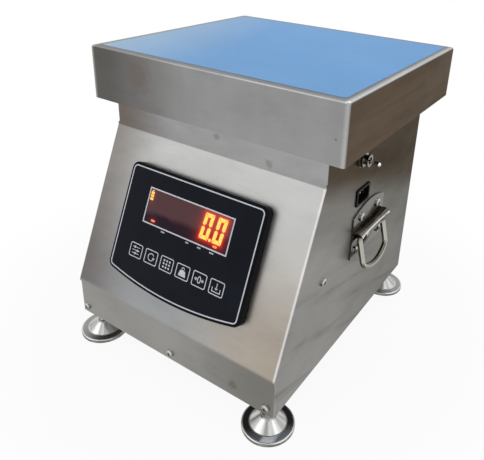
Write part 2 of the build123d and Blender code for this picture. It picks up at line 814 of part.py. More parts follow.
# Printed overlay on the bezel, cut out for the window and the keys
with BuildPart() as keypad_overlay:
    with BuildSketch(slope_level(bezel_proud)):
        add(bezel_outline(overlay_margin))
        with Locations((0, window_y)):
            Rectangle(window_width, window_height, mode=Mode.SUBTRACT)
        with Locations(*key_places):
            RectangleRounded(key_width + 2 * fit_gap, key_height + 2 * fit_gap, key_corner, mode=Mode.SUBTRACT)
    extrude(amount=overlay)
save(keypad_overlay, "keypad_overlay")

with BuildPart() as display_window:
    with BuildSketch(slope_level(pane_back)):
        with Locations((0, window_y)):
            Rectangle(window_width - fit_gap, window_height - fit_gap)
    extrude(amount=window_pane)
save(display_window, "display_window")

# Cover behind the slope: a box through the pocket with a flange against the sheet
board_width = pocket_width - 2 * cover_wall - 2 * board_gap
board_height = pocket_height - 2 * cover_wall - 2 * board_gap
cover_back = -(sheet + cover_depth)
with BuildPart() as indicator_cover:
    with BuildSketch(slope_level(cover_back)):
        with Locations(pocket_centre):
            Rectangle(pocket_width - fit_gap, pocket_height - fit_gap)
    extrude(amount=-cover_back)
    with BuildSketch(slope_level(-sheet - cover_wall)):
        with Locations(pocket_centre):
            RectangleRounded(
                pocket_width + 2 * cover_side_flange, pocket_height + 2 * cover_flange, cover_flange
            )
    extrude(amount=cover_wall)
    with BuildSketch(slope_level(cover_back + cover_wall)):
        with Locations(pocket_centre):
            Rectangle(board_width + 2 * board_gap, board_height + 2 * board_gap)
    extrude(amount=-cover_back, mode=Mode.SUBTRACT)
    with BuildSketch(slope_level(cover_back + cover_wall)):
        with Locations(pocket_centre):
            with GridLocations(board_width - cover_post, board_height - cover_post, 2, 2):
                Circle(cover_post / 2)
    extrude(amount=board_front - board - cover_back - cover_wall)
    with BuildSketch(slope_level(-sheet - cover_wall)):
        with Locations(*boss_places):
            Circle(indicator_screw_dia / 2 + hole_gap)
    extrude(amount=cover_wall, mode=Mode.SUBTRACT)
save(indicator_cover, "indicator_cover")

indicator_screw_planes = [
    Plane(slope_plane.from_local_coords((*place, -sheet - cover_wall)), x_dir=(1, 0, 0), z_dir=-slope_plane.z_dir)
    for place in boss_places
]
indicator_screws = pan_head_screws(
    indicator_screw_planes,
    indicator_screw_dia,
    sheet + cover_wall + gasket + indicator_screw_depth - screw_end_gap,
    indicator_head_dia,
    indicator_head_height,
)
save(indicator_screws, "indicator_screws")

with BuildPart() as display_board:
    with BuildSketch(slope_level(board_front)):
        with Locations(pocket_centre):
            Rectangle(board_width, board_height)
    extrude(amount=-board)
save(display_board, "display_board")

# Digit modules: two blocks side by side on the board
with BuildPart() as digit_modules:
    block = digits / 2 * digit_pitch
    with BuildSketch(slope_level(board_front)):
        for side in (-1, 1):
            with Locations((digit_offset + side * block / 2, digits_y)):
                Rectangle(block - hair_gap, digit_module_height)
    extrude(amount=digit_front - board_front)
save(digit_modules, "digit_modules")

# Tact switches under the keys
with BuildPart() as key_switches:
    with BuildSketch(slope_level(board_front)):
        with Locations(*key_places):
            Rectangle(switch_size, switch_size)
    extrude(amount=switch_height - switch_button)
    with BuildSketch(slope_level(board_front)):
        with Locations(*key_places):
            Circle(switch_button_dia / 2)
    extrude(amount=switch_height)
save(key_switches, "key_switches")

# Keys: a cap in the bezel's recess, with a stem down to its switch
for i, place in enumerate(key_places):
    with BuildPart() as key:
        cap_top = bezel_proud + overlay + key_proud
        with BuildSketch(slope_level(cap_top - key_cap)):
            with Locations(place):
                RectangleRounded(key_width, key_height, key_corner)
        extrude(amount=key_cap)
        fillet(key.faces().sort_by(slope_axis)[-1].edges(), key_proud * 2)
        stem_end = board_front + switch_height + key_travel + hair_gap
        with BuildSketch(slope_level(stem_end)):
            with Locations(place):
                Circle(key_stem / 2)
        extrude(amount=cap_top - key_cap - stem_end)
    save(key, f"key_{i + 1}")


# Handles. The bail's pin runs along Y in the barrel of a plate on the housing's side.
def bail_path(side):
    """Centre line of the bail: a hook in the barrel, a leg, the bowed grip and back up."""
    lean = radians(bail_lean)
    down = Vector(side * sin(lean), 0, -cos(lean))
    along = Vector(0, 1, 0)
    pin = Vector(side * (half_width + handle_pin_out), handle_y, handle_pin_height)
    half = bail_span / 2

    def at(across, drop):
        return pin + along * across + down * drop

    with BuildLine() as path:
        Line(at(-half + bail_hook, 0), at(-half + bail_wire, 0))
        FilletPolyline(
            at(-half + bail_wire, 0), at(-half, 0), at(-half, bail_leg / 2), radius=bail_bend
        )
        Line(at(-half, bail_leg / 2), at(-half, bail_leg))
        ThreePointArc(at(-half, bail_leg), at(0, bail_leg + bail_bow), at(half, bail_leg))
        Line(at(half, bail_leg), at(half, bail_leg / 2))
        FilletPolyline(
            at(half, bail_leg / 2), at(half, 0), at(half - bail_wire, 0), radius=bail_bend
        )
        Line(at(half - bail_wire, 0), at(half - bail_hook, 0))
    return path


def bail(side):
    """Wire bail, bent from round bar."""
    path = bail_path(side)
    wire = path.wire()
    lower_corners = wire.vertices().sort_by(Axis.Z)[:2]
    wire = wire.fillet_2d(bail_corner, lower_corners)
    with BuildPart() as rod:
        with BuildSketch(Plane(origin=wire @ 0, z_dir=wire % 0)):
            Circle(bail_wire / 2)
        sweep(path=wire)
    return rod


handle_bail_right = bail(1)
save(handle_bail_right, "handle_bail_right")
handle_bail_left = bail(-1)
save(handle_bail_left, "handle_bail_left")


def handle_plate_right():
    """Pressed plate with a waisted barrel whose ends are hoods over the bail's legs."""
    pin_x = half_width + handle_pin_out
    barrel_end = barrel_length / 2
    cheek_out = bail_span / 2 - bail_bend - cheek_gap
    pin_axis = Axis((pin_x, handle_y, handle_pin_height), (0, 1, 0))
    section = Plane(origin=(pin_x, handle_y, handle_pin_height), x_dir=(0, 1, 0), z_dir=(0, 0, 1))

    def barrel(inset):
        """Solid of revolution about the pin, its wall moved in by inset."""
        mouth = barrel_mouth - inset
        waist = barrel_waist - inset
        with BuildPart() as form:
            with BuildSketch(section):
                with BuildLine():
                    Polyline(
                        (-barrel_end, 0),
                        (-barrel_end, mouth),
                        (-barrel_flare, waist),
                        (barrel_flare, waist),
                        (barrel_end, mouth),
                        (barrel_end, 0),
                        close=True,
                    )
                make_face()
            revolve(axis=pin_axis)
        return form.part

    with BuildPart() as cheeks:
        ends = [(pin_x, handle_y + end * (cheek_out - barrel_cheek / 2), handle_pin_height) for end in (-1, 1)]
        with Locations(*ends):
            Box(4 * barrel_mouth, barrel_cheek, 4 * barrel_mouth)
        add(barrel(handle_plate / 2), mode=Mode.INTERSECT)

    half = handle_plate_width / 2
    with BuildPart() as plate:
        with BuildSketch(side_plane.offset(half_width)) as outline:
            with BuildLine():
                top_end = handle_plate_top
                Polyline(
                    (handle_y - half, top_end),
                    (handle_y - half, handle_plate_bottom),
                    (handle_y + half, handle_plate_bottom),
                    (handle_y + half, top_end),
                )
                ThreePointArc(
                    (handle_y + half, top_end), (handle_y, top_end + handle_arch), (handle_y - half, top_end)
                )
            make_face()
            fillet(outline.vertices(), handle_corner)
        extrude(amount=handle_plate)
        add(barrel(0))
        add(barrel(handle_plate), mode=Mode.SUBTRACT)
        add(cheeks.part)
        for end in (-1, 1):
            slot_middle = handle_y + end * (cheek_out + barrel_end) / 2
            slot_top = handle_pin_height + bail_wire / 2 + handle_slot_gap
            with Locations((half_width + handle_plate + barrel_mouth, slot_middle, slot_top - barrel_mouth)):
                Box(2 * barrel_mouth, barrel_end - cheek_out, 2 * barrel_mouth, mode=Mode.SUBTRACT)
        with BuildSketch(Plane.XZ.offset(-handle_y)):
            with Locations((pin_x, handle_pin_height)):
                Circle(bail_wire / 2 + pin_gap)
        extrude(amount=barrel_end, both=True, mode=Mode.SUBTRACT)
        with Locations((half_width - barrel_mouth, handle_y, handle_pin_height)):
            Box(2 * barrel_mouth, 2 * handle_plate_width, 4 * barrel_mouth, mode=Mode.SUBTRACT)
        with BuildSketch(side_plane.offset(half_width)):
            with Locations(*handle_holes):
                Circle(handle_screw_dia / 2 + hole_gap)
        extrude(amount=handle_plate, mode=Mode.SUBTRACT)
    return plate


right_plate = handle_plate_right()
save(right_plate, "handle_plate_right")
with BuildPart() as left_plate:
    mirror(right_plate.part, about=Plane.YZ)
save(left_plate, "handle_plate_left")

handle_screw_planes = [
    Plane((side * (half_width + handle_plate), y, z), x_dir=(0, 1, 0), z_dir=(side, 0, 0))
    for side in (-1, 1)
    for y, z in handle_holes
]
handle_screws = pan_head_screws(
    handle_screw_planes, handle_screw_dia, handle_screw_length, handle_head_dia, handle_head_height
)
save(handle_screws, "handle_screws")

with BuildPart() as handle_nuts:
    for side in (-1, 1):
        for y, z in handle_holes:
            behind = inner_half - (shelf_sheet if side > 0 and z == handle_lower_height else 0)
            nut_plane = Plane((side * behind, y, z), x_dir=(0, 1, 0), z_dir=(-side, 0, 0))
            add(hex_nuts(nut_plane, [(0, 0)], handle_nut_flats, handle_nut, handle_screw_dia).part)
save(handle_nuts, "handle_nuts")

# Mains inlet: a moulded socket with a lip on the outside and a recess for the plug
with BuildPart() as power_inlet:
    with BuildSketch(side_plane.offset(half_width)):
        with Locations((inlet_y, inlet_centre_height)):
            RectangleRounded(inlet_width, inlet_height, inlet_corner)
    extrude(amount=inlet_lip)
    with BuildSketch(side_plane.offset(half_width)):
        with Locations((inlet_y, inlet_centre_height)):
            Rectangle(inlet_body_width, inlet_body_height)
    extrude(amount=-inlet_body_depth)
    fillet(power_inlet.faces().sort_by(Axis.X)[-1].edges(), inlet_lip / 3)
    with BuildSketch(side_plane.offset(half_width + inlet_lip)) as recess:
        with Locations((inlet_y, inlet_centre_height)):
            Rectangle(inlet_body_width - 2 * inlet_wall, inlet_body_height - 2 * inlet_wall)
        chamfer(recess.vertices().group_by(Axis.Z)[0], 2 * inlet_wall)
    extrude(amount=-inlet_recess, mode=Mode.SUBTRACT)
save(power_inlet, "power_inlet")

with BuildPart() as inlet_pins:
    with BuildSketch(side_plane.offset(half_width + inlet_lip - inlet_recess)):
        for step in (-1, 0, 1):
            rise = 0 if step else inlet_pin_thick
            with Locations((inlet_y + step * inlet_pin_pitch, inlet_centre_height + rise)):
                Rectangle(inlet_pin_thick, inlet_pin_tall)
    extrude(amount=inlet_pin_length)
save(inlet_pins, "inlet_pins")

# Power switch: block and bush, the nut and washer that clamp it, the ring on the bush's end, and the lever
with BuildPart() as toggle_body:
    with Locations((inner_half - switch_block_deep / 2, switch_y, switch_centre_height)):
        Box(switch_block_deep, switch_block_wide, switch_block_tall)
    with BuildSketch(side_plane.offset(inner_half)):
        with Locations((switch_y, switch_centre_height)):
            Circle(switch_bush_dia / 2)
    extrude(amount=sheet + switch_bush_out)
    with BuildSketch(side_plane.offset(inner_half)):
        with Locations((switch_y, switch_centre_height)):
            Circle(switch_bore / 2)
    extrude(amount=sheet + switch_bush_out, mode=Mode.SUBTRACT)
save(toggle_body, "toggle_body")

with BuildPart() as toggle_nut:
    with BuildSketch(side_plane.offset(half_width)):
        with Locations((switch_y, switch_centre_height)):
            Circle(switch_washer_dia / 2)
    extrude(amount=switch_washer)
    with BuildSketch(side_plane.offset(half_width + switch_washer)):
        with Locations((switch_y, switch_centre_height)):
            RegularPolygon(switch_nut_flats / 2, 6, major_radius=False)
    extrude(amount=switch_nut)
    with BuildSketch(side_plane.offset(half_width + switch_bush_out - switch_collar)):
        with Locations((switch_y, switch_centre_height)):
            Circle(switch_collar_dia / 2)
    extrude(amount=switch_collar)
    with BuildSketch(side_plane.offset(half_width)):
        with Locations((switch_y, switch_centre_height)):
            Circle(switch_bush_dia / 2 + thread_gap)
    extrude(amount=switch_bush_out, mode=Mode.SUBTRACT)
save(toggle_nut, "toggle_nut")

lever_droop = radians(lever_throw / 2)
lever_direction = (cos(lever_droop), -sin(lever_droop), 0)
lever_pivot = (half_width + lever_pivot_out, switch_y, switch_centre_height)
with BuildPart() as toggle_lever:
    with BuildSketch(Plane.XZ):
        with BuildLine():
            tip_start = lever_length - lever_tip_dia / 2
            Line((0, 0), (lever_neck_dia / 2, 0))
            Polyline(
                (lever_neck_dia / 2, 0),
                (lever_neck_dia / 2, lever_length / 2),
                (lever_tip_dia / 2, tip_start),
            )
            RadiusArc((lever_tip_dia / 2, tip_start), (0, lever_length), -lever_tip_dia / 2)
            Line((0, lever_length), (0, 0))
        make_face()
    revolve(axis=Axis.Z)
    Sphere(lever_ball_dia / 2)
toggle_lever.part = toggle_lever.part.moved(Plane(lever_pivot, x_dir=(0, 1, 0), z_dir=lever_direction).location)
save(toggle_lever, "toggle_lever")

# Power shelf: an angle on the right panel, under the inlet, that carries the transformer
shelf_front_y = rear_y - shelf_front_back
shelf_rear_y = rear_y - shelf_rear_back
shelf_outer = inner_half
with BuildPart() as power_shelf:
    with BuildSketch(Plane.XZ.offset(-shelf_rear_y)):
        with BuildLine():
            Polyline(
                (shelf_outer, shelf_height + shelf_flange),
                (shelf_outer, shelf_height),
                (shelf_outer - shelf_depth, shelf_height),
                (shelf_outer - shelf_depth, shelf_height + shelf_sheet),
                (shelf_outer - shelf_sheet, shelf_height + shelf_sheet),
                (shelf_outer - shelf_sheet, shelf_height + shelf_flange),
                close=True,
            )
        make_face()
    extrude(amount=shelf_rear_y - shelf_front_y)
    with BuildSketch(side_plane.offset(inner_half - shelf_sheet)):
        with Locations((shelf_screw_y, shelf_screw_height)):
            Circle(housing_screw_dia / 2 + hole_gap)
        with Locations(*[place for place in handle_holes if place[1] == handle_lower_height]):
            Circle(handle_screw_dia / 2 + hole_gap)
    extrude(amount=shelf_sheet, mode=Mode.SUBTRACT)
save(power_shelf, "power_shelf")

transformer_y = rear_y - transformer_back
transformer_x = shelf_outer - shelf_depth / 2 - shelf_sheet
transformer_z = shelf_height + shelf_sheet
with BuildPart() as transformer:
    with Locations((transformer_x, transformer_y, transformer_z + core_height / 2)):
        Box(core_depth, core_width, core_height)
        Box(coil_depth, coil_width, coil_height)
save(transformer, "transformer")

# Battery, standing on the tray under a strap
battery_y = rear_y - battery_back
battery_top = floor_z + battery_height
with BuildPart() as battery:
    with BuildSketch(Plane.XY.offset(floor_z)):
        with Locations((-battery_left, battery_y)):
            RectangleRounded(battery_width, battery_depth, battery_corner)
    extrude(amount=battery_height)
    with BuildSketch(Plane.XY.offset(battery_top)):
        for side in (-1, 1):
            with Locations((side * battery_width / 3 - battery_left, battery_y - battery_depth / 3)):
                Rectangle(terminal, terminal_sheet)
    extrude(amount=terminal)
save(battery, "battery")

strap_half = battery_width / 2 + fit_gap
with BuildPart() as battery_strap:
    with BuildSketch(Plane.XZ.offset(-battery_y)):
        with BuildLine():
            left = -battery_left - strap_half
            right = -battery_left + strap_half
            top = battery_top + fit_gap
            Polyline(
                (left - strap_foot, floor_z),
                (left - strap_foot, floor_z + strap),
                (left - strap, floor_z + strap),
                (left - strap, top + strap),
                (right + strap, top + strap),
                (right + strap, floor_z + strap),
                (right + strap_foot, floor_z + strap),
                (right + strap_foot, floor_z),
                (right, floor_z),
                (right, top),
                (left, top),
                (left, floor_z),
                close=True,
            )
        make_face()
    extrude(amount=strap_width / 2, both=True)
save(battery_strap, "battery_strap")

# Main board on its standoffs
main_board_x = main_board_right
main_board_y = rear_y - main_board_back
board_z = floor_z + standoff
with BuildPart() as board_standoffs:
    with BuildSketch(Plane.XY.offset(floor_z)):
        with Locations((main_board_x, main_board_y)):
            with GridLocations(
                main_board_width - 2 * standoff_inset, main_board_depth - 2 * standoff_inset, 2, 2
            ):
                RegularPolygon(standoff_dia / 2, 6)
    extrude(amount=standoff)
save(board_standoffs, "board_standoffs")

with BuildPart() as main_board:
    with BuildSketch(Plane.XY.offset(board_z)):
        with Locations((main_board_x, main_board_y)):
            Rectangle(main_board_width, main_board_depth)
    extrude(amount=board)
    with BuildSketch(Plane.XY.offset(board_z + board)):
        with Locations((main_board_x - main_board_width / 4, main_board_y)):
            Rectangle(chip, chip)
        with Locations((main_board_x + main_board_width / 3, main_board_y)):
            Rectangle(connector_width, connector_length)
        with Locations((main_board_x, main_board_y + main_board_depth / 4)):
            Circle(capacitor_dia / 2)
    extrude(amount=component_height)
save(main_board, "main_board")
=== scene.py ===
from math import atan2, cos, degrees, exp, hypot, pi, radians, sin, sqrt

import bmesh
import bpy
from mathutils import Matrix, Vector


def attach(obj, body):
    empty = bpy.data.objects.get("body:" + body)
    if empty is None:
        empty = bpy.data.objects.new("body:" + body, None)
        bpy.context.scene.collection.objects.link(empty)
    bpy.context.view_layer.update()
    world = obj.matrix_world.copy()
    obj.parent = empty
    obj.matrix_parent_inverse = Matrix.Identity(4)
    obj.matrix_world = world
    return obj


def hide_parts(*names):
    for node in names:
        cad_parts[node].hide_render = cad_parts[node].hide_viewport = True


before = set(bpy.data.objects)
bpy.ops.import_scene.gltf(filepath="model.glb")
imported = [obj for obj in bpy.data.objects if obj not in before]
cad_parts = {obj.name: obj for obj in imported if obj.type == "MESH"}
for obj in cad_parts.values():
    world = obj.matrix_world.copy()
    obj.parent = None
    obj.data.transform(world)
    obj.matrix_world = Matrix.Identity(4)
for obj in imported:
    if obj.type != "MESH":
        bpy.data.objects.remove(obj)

MM = 0.001
scene = bpy.context.scene
scene.view_settings.view_transform = "Standard"
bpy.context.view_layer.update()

# The slope under the indicator: x runs across it, s down it from its upper edge, and out stands off it
NECK_Y = -86.0
BREAK_Z = 234.0
SLOPE_RUN = 71.0
SLOPE_RISE = 162.0
SLOPE_LENGTH = hypot(SLOPE_RUN, SLOPE_RISE)
SLOPE_DOWN = Vector((0, -SLOPE_RUN, -SLOPE_RISE)) / SLOPE_LENGTH
SLOPE_OUT = Vector((0, -SLOPE_RISE, SLOPE_RUN)) / SLOPE_LENGTH

# Indicator
BEZEL_HALF = 85.5
BEZEL_TOP = 30.0
BEZEL_SIDE = 113.0
BEZEL_BOW = 10.0
BEZEL_CORNER = 8.0
FACE_OUT = 10.0              # printed face over the slope
PANE_OUT = 9.7
BORDER_INSET = 3.6
BORDER_WIDTH = 1.2
INK = 0.04                   # thickness of the print
WINDOW = (-55.0, 51.0, 55.0, 88.0)
WINDOW_LINE = 1.3
WINDOW_PRINT = (-53.3, 50.6, 53.3, 86.1)     # middle of the printed line round the window
DIGIT_X = (24.6, 40.3)
DIGIT_S = 66.9
DIGIT_HEIGHT = 25.4
DIGIT_WIDTH = 10.8
DIGIT_STROKE = 3.7
DIGIT_LEAN = 0.09
KEY_PITCH = 21.04
KEY_S = 117.2
KEY_SIZE = (17.0, 14.5)
KEY_OUT = 10.1

# Camera
CAMERA_AT = (0.3198, -0.4661, 0.4482)
CAMERA_AZIMUTH = 32.23
CAMERA_ELEVATION = 22.92
CAMERA_ROLL = 2.45
CAMERA_LENS = 40.76
CAMERA_SHIFT = (-0.0785, -0.1653)


def on_slope(x, s, out):
    """The place on the slope at x across, s down and out of its face, all in millimetres."""
    return (Vector((x, NECK_Y, BREAK_Z)) + SLOPE_DOWN * s + SLOPE_OUT * out) * MM


# Materials. Colours are linear. A pair of numbers is a range, mostly of places along one axis in metres.
# Four numbers are a range and what it is turned into. A pair of shades goes from a range's start to its end.
class Finish:
    """One procedural material, built up node by node."""

    def __init__(self, name):
        self.material = bpy.data.materials.new(name)
        self.material.use_nodes = True
        self.tree = self.material.node_tree
        self.shader = self.tree.nodes["Principled BSDF"]
        self.place = self.tree.nodes.new("ShaderNodeTexCoord").outputs["Object"]

    def set(self, **values):
        """Sets the shader's sockets, by link or by value."""
        for label, value in values.items():
            self.put(self.shader.inputs[label.replace("_", " ")], value)
        return self

    def put(self, socket, value):
        if isinstance(value, bpy.types.NodeSocket):
            self.tree.links.new(value, socket)
        elif isinstance(value, tuple) and len(socket.default_value) == 4:
            socket.default_value = (*value, 1.0)
        else:
            socket.default_value = value

    def noise(self, stretch, scale=1.0, detail=3.0, rough=0.5, distort=0.0, place=None):
        """Noise from 0 to 1; stretch is how many features a metre holds along x, y and z."""
        mapping = self.tree.nodes.new("ShaderNodeMapping")
        mapping.inputs["Scale"].default_value = stretch
        self.tree.links.new(place or self.place, mapping.inputs["Vector"])
        node = self.tree.nodes.new("ShaderNodeTexNoise")
        self.tree.links.new(mapping.outputs["Vector"], node.inputs["Vector"])
        node.inputs["Scale"].default_value = scale
        node.inputs["Detail"].default_value = detail
        node.inputs["Roughness"].default_value = rough
        node.inputs["Distortion"].default_value = distort
        return node.outputs["Fac"]

    def even_noise(self, scale, **settings):
        return self.noise((scale, scale, scale), **settings)

    def span(self, value, low, high, start=0.0, end=1.0, smooth=False):
        """Value moved from the range low to high onto start to end, and held there."""
        node = self.tree.nodes.new("ShaderNodeMapRange")
        node.interpolation_type = "SMOOTHSTEP" if smooth else "LINEAR"
        self.put(node.inputs["Value"], value)
        for label, number in (("From Min", low), ("From Max", high), ("To Min", start), ("To Max", end)):
            self.put(node.inputs[label], number)
        return node.outputs["Result"]

    def math(self, operation, first, second=0.0):
        node = self.tree.nodes.new("ShaderNodeMath")
        node.operation = operation
        self.put(node.inputs[0], first)
        self.put(node.inputs[1], second)
        return node.outputs["Value"]

    def plus(self, first, second):
        return self.math("ADD", first, second)

    def times(self, first, second):
        return self.math("MULTIPLY", first, second)

    def apart(self, value, middle=0.0):
        """How far value is from middle, to either side."""
        return self.math("ABSOLUTE", self.math("SUBTRACT", value, middle))

    def mix(self, factor, first, second):
        node = self.tree.nodes.new("ShaderNodeMix")
        node.data_type = "RGBA"
        self.put(node.inputs["Factor"], factor)
        colours = [socket for socket in node.inputs if socket.type == "RGBA"]
        self.put(colours[0], first)
        self.put(colours[1], second)
        return next(socket for socket in node.outputs if socket.type == "RGBA")

    def scaled(self, colour, amount):
        """The colour made lighter or darker by amount."""
        node = self.tree.nodes.new("ShaderNodeVectorMath")
        node.operation = "SCALE"
        self.put(node.inputs[0], colour)
        self.put(node.inputs["Scale"], amount)
        return node.outputs["Vector"]

    def axes(self, vector=None):
        node = self.tree.nodes.new("ShaderNodeSeparateXYZ")
        self.tree.links.new(vector or self.place, node.inputs["Vector"])
        return node.outputs["X"], node.outputs["Y"], node.outputs["Z"]

    def base_colour(self):
        """What the shader's colour is linked to so far."""
        return self.shader.inputs["Base Color"].links[0].from_socket

    def bump(self, height, strength, distance):
        node = self.tree.nodes.new("ShaderNodeBump")
        node.inputs["Strength"].default_value = strength
        node.inputs["Distance"].default_value = distance
        self.tree.links.new(height, node.inputs["Height"])
        self.tree.links.new(node.outputs["Normal"], self.shader.inputs["Normal"])
        return self


# Most of a noise's values lie within these
NOISE_RANGE = (0.3, 0.7)

# Sheet steel: the grain of each brushing, how three kinds of noise shade it, and its fine relief
GRAINS = {"level": (30, 30, 2600), "across": (30, 2600, 2600)}
SMEAR_STRETCH = (7, 7, 14)
SMEAR_SHADING = (0.32, 0.68, 0.92, 1.07)
CLOUD_STRETCH = (16, 16, 40)
CLOUD_SHADING = (0.50, 0.80, 1.0, 0.88)
GRAIN_SHADING = (0.25, 0.75, 0.94, 1.05)
GRAIN_RELIEF = (0.06, 0.0002)
ANISOTROPY = 0.3


def sheet_steel(name, tone, rough=(0.30, 0.42), brushed="level", edge=(0.60, 0.58, 0.54)):
    """Brushed sheet. tone is a colour, or a function that lays out a panel's colour with its painted light;
    edge colours the sheen.
    """
    finish = Finish(name)
    lines = finish.noise(GRAINS[brushed], detail=4.0, rough=0.7)
    smear = finish.noise(SMEAR_STRETCH, detail=3.0, rough=0.55, distort=0.6)
    clouds = finish.noise(CLOUD_STRETCH, detail=4.0, rough=0.6)
    colour = tone(finish) if callable(tone) else tone
    for noise, shading in ((smear, SMEAR_SHADING), (clouds, CLOUD_SHADING), (lines, GRAIN_SHADING)):
        colour = finish.scaled(colour, finish.span(noise, *shading))
    finish.set(Base_Color=colour, Metallic=1.0, Anisotropic=ANISOTROPY, Specular_Tint=edge)
    finish.set(Roughness=finish.span(clouds, *NOISE_RANGE, *rough))
    return finish.bump(lines, *GRAIN_RELIEF)


SOFT_MARK_GRAIN = 220
SOFT_MARK_RAGGED = (0.2, 0.8, 0.5, 1.6)
SOFT_MARK_CORE = 0.35             # share of a mark's radius that is full


def soft_marks(finish, colour, marks):
    """Soft marks: each has its places with a radius, its colour and its strength."""
    for spots, tone, strength in marks:
        for x, y, z, radius in spots:
            node = finish.tree.nodes.new("ShaderNodeVectorMath")
            node.operation = "DISTANCE"
            finish.tree.links.new(finish.place, node.inputs[0])
            node.inputs[1].default_value = (x, y, z)
            ragged = finish.even_noise(SOFT_MARK_GRAIN, detail=3.0, rough=0.7)
            reach = finish.times(node.outputs["Value"], finish.span(ragged, *SOFT_MARK_RAGGED))
            mask = finish.span(reach, radius * SOFT_MARK_CORE, radius, strength, 0.0, smooth=True)
            colour = finish.mix(mask, colour, tone)
    return colour


# Front panel: its painted reflections and shade inwards from the left edge, to the right and up, and a
# painted highlight along the fold; then the neck and the apron, also painted shade
FRONT_INWARD = (-0.131, -0.050)
FRONT_RIGHT = (-0.01, 0.12)
FRONT_UP = (0.085, 0.215)
HIGH_SHADES = ((0.27, 0.255, 0.24), (0.535, 0.54, 0.53))
LOW_SHADES = ((0.185, 0.17, 0.165), (0.34, 0.35, 0.355))
LOW_RIGHT_SHADE = (0.415, 0.365, 0.31)
FOLD_FROM = (0.1268, 0.1276)
FOLD_HIGHLIGHT = (0.72, 0.71, 0.69)
NECK_INWARD = (-0.125, -0.04)
NECK_FROM = (0.2335, 0.2350)
NECK_SHADES = ((0.165, 0.14, 0.125), (0.345, 0.345, 0.348))
APRON_RIGHT = (-0.02, 0.12)
APRON_UP_TO = (0.0700, 0.0745)
APRON_SHADES = ((0.330, 0.322, 0.312), (0.200, 0.196, 0.178))
# Soft dark and pale marks on the front at given places
FRONT_MARKS = (
    (((0.083, -0.157, 0.043, 0.007),), (0.12, 0.10, 0.085), 0.5),
    (((0.008, -0.086, 0.253, 0.005), (0.069, -0.086, 0.241, 0.006)), (0.16, 0.145, 0.12), 0.42),
    (((0.012, -0.086, 0.245, 0.006), (0.060, -0.086, 0.236, 0.004)), (0.37, 0.35, 0.29), 0.5),
)


def front_painted_light(finish):
    """Painted reflections and shade: the slope is palest at its upper right; the neck and apron are duller,
    and the left edge is dark. The fold at the right edge carries a painted highlight.
    """
    x, y, z = finish.axes()
    inward = finish.span(x, *FRONT_INWARD, smooth=True)
    low = finish.mix(inward, *LOW_SHADES)
    low = finish.mix(finish.span(x, *FRONT_RIGHT, smooth=True), low, LOW_RIGHT_SHADE)
    colour = finish.mix(finish.span(z, *FRONT_UP, smooth=True), low, finish.mix(inward, *HIGH_SHADES))
    # Painted highlight along the fold at the panel's right edge
    colour = finish.mix(finish.span(x, *FOLD_FROM), colour, FOLD_HIGHLIGHT)
    # Painted shade: the neck is darker to the left
    neck = finish.mix(finish.span(x, *NECK_INWARD, smooth=True), *NECK_SHADES)
    colour = finish.mix(finish.span(z, *NECK_FROM, smooth=True), colour, neck)
    # Painted shade: the apron is darker to the right
    apron = finish.mix(finish.span(x, *APRON_RIGHT, smooth=True), *APRON_SHADES)
    colour = finish.mix(finish.span(z, *APRON_UP_TO, 1.0, 0.0, smooth=True), colour, apron)
    return soft_marks(finish, colour, FRONT_MARKS)


# Side panels, with painted shade and reflections: heights are read at the middle of the depth, and the bands
# drop to the back
BAND_DROP = 0.30
BANDS_A_METRE = (4.0, 40.0)  # along the depth and down
SIDE_UP = (0.115, 0.175)
SIDE_SHADES = ((0.305, 0.305, 0.30), (0.235, 0.232, 0.22))
RIGHT_HALF = (0.0, 0.01)
BANDS_UP_TO = (0.06, 0.16, 0.52, 0.12)
DARK_BANDS = (0.50, 0.68)
DARK_BAND_SHADE = (0.085, 0.09, 0.105)
PALE_BANDS = (0.42, 0.30)
PALE_BAND_SHADE = (0.38, 0.38, 0.38)
BROWN_BANDS = (0.4, 0.6)
BROWN_PAINTED_SHADES = ((0.072, 0.054, 0.040), (0.055, 0.040, 0.029))
BROWN_FROM = (0.180, 0.222)
SIDE_TO_BACK = (-0.08, 0.14, 1.08, 0.76)
RETURNS_UP_TO = (0.1290, 0.1297)
RETURNS_BACK_TO = (-0.08, -0.07)


def side_painted_light(finish):
    """Painted shade and reflections: the side darkens upwards and to the back, and the right side is brown
    under the pan and faintly banded below. The front returns match the front.
    """
    x, y, z = finish.axes()
    height = finish.plus(z, finish.times(y, BAND_DROP))
    where = finish.tree.nodes.new("ShaderNodeCombineXYZ")
    for label, value, density in zip("XY", (y, height), BANDS_A_METRE):
        finish.put(where.inputs[label], finish.times(value, density))
    bands = finish.even_noise(1, detail=3.0, rough=0.55, distort=0.3, place=where.outputs["Vector"])
    # Painted shade: darker upwards
    colour = finish.mix(finish.span(height, *SIDE_UP, smooth=True), *SIDE_SHADES)
    right = finish.span(x, *RIGHT_HALF)
    low = finish.times(finish.span(height, *BANDS_UP_TO, smooth=True), right)
    for kept, tone in ((DARK_BANDS, DARK_BAND_SHADE), (PALE_BANDS, PALE_BAND_SHADE)):
        colour = finish.mix(finish.times(finish.span(bands, *kept, smooth=True), low), colour, tone)
    # Painted shade and reflection: brown under the pan, on the right side only
    under = finish.times(finish.span(height, *BROWN_FROM, smooth=True), right)
    colour = finish.mix(under, colour, finish.mix(finish.span(bands, *BROWN_BANDS), *BROWN_PAINTED_SHADES))
    # Painted shade: darker towards the back
    colour = finish.scaled(colour, finish.span(y, *SIDE_TO_BACK))
    returns = finish.span(finish.apart(x), *RETURNS_UP_TO, 1.0, 0.0, smooth=True)
    ahead = finish.span(y, *RETURNS_BACK_TO, 1.0, 0.0)
    return finish.mix(finish.times(returns, ahead), colour, front_painted_light(finish))
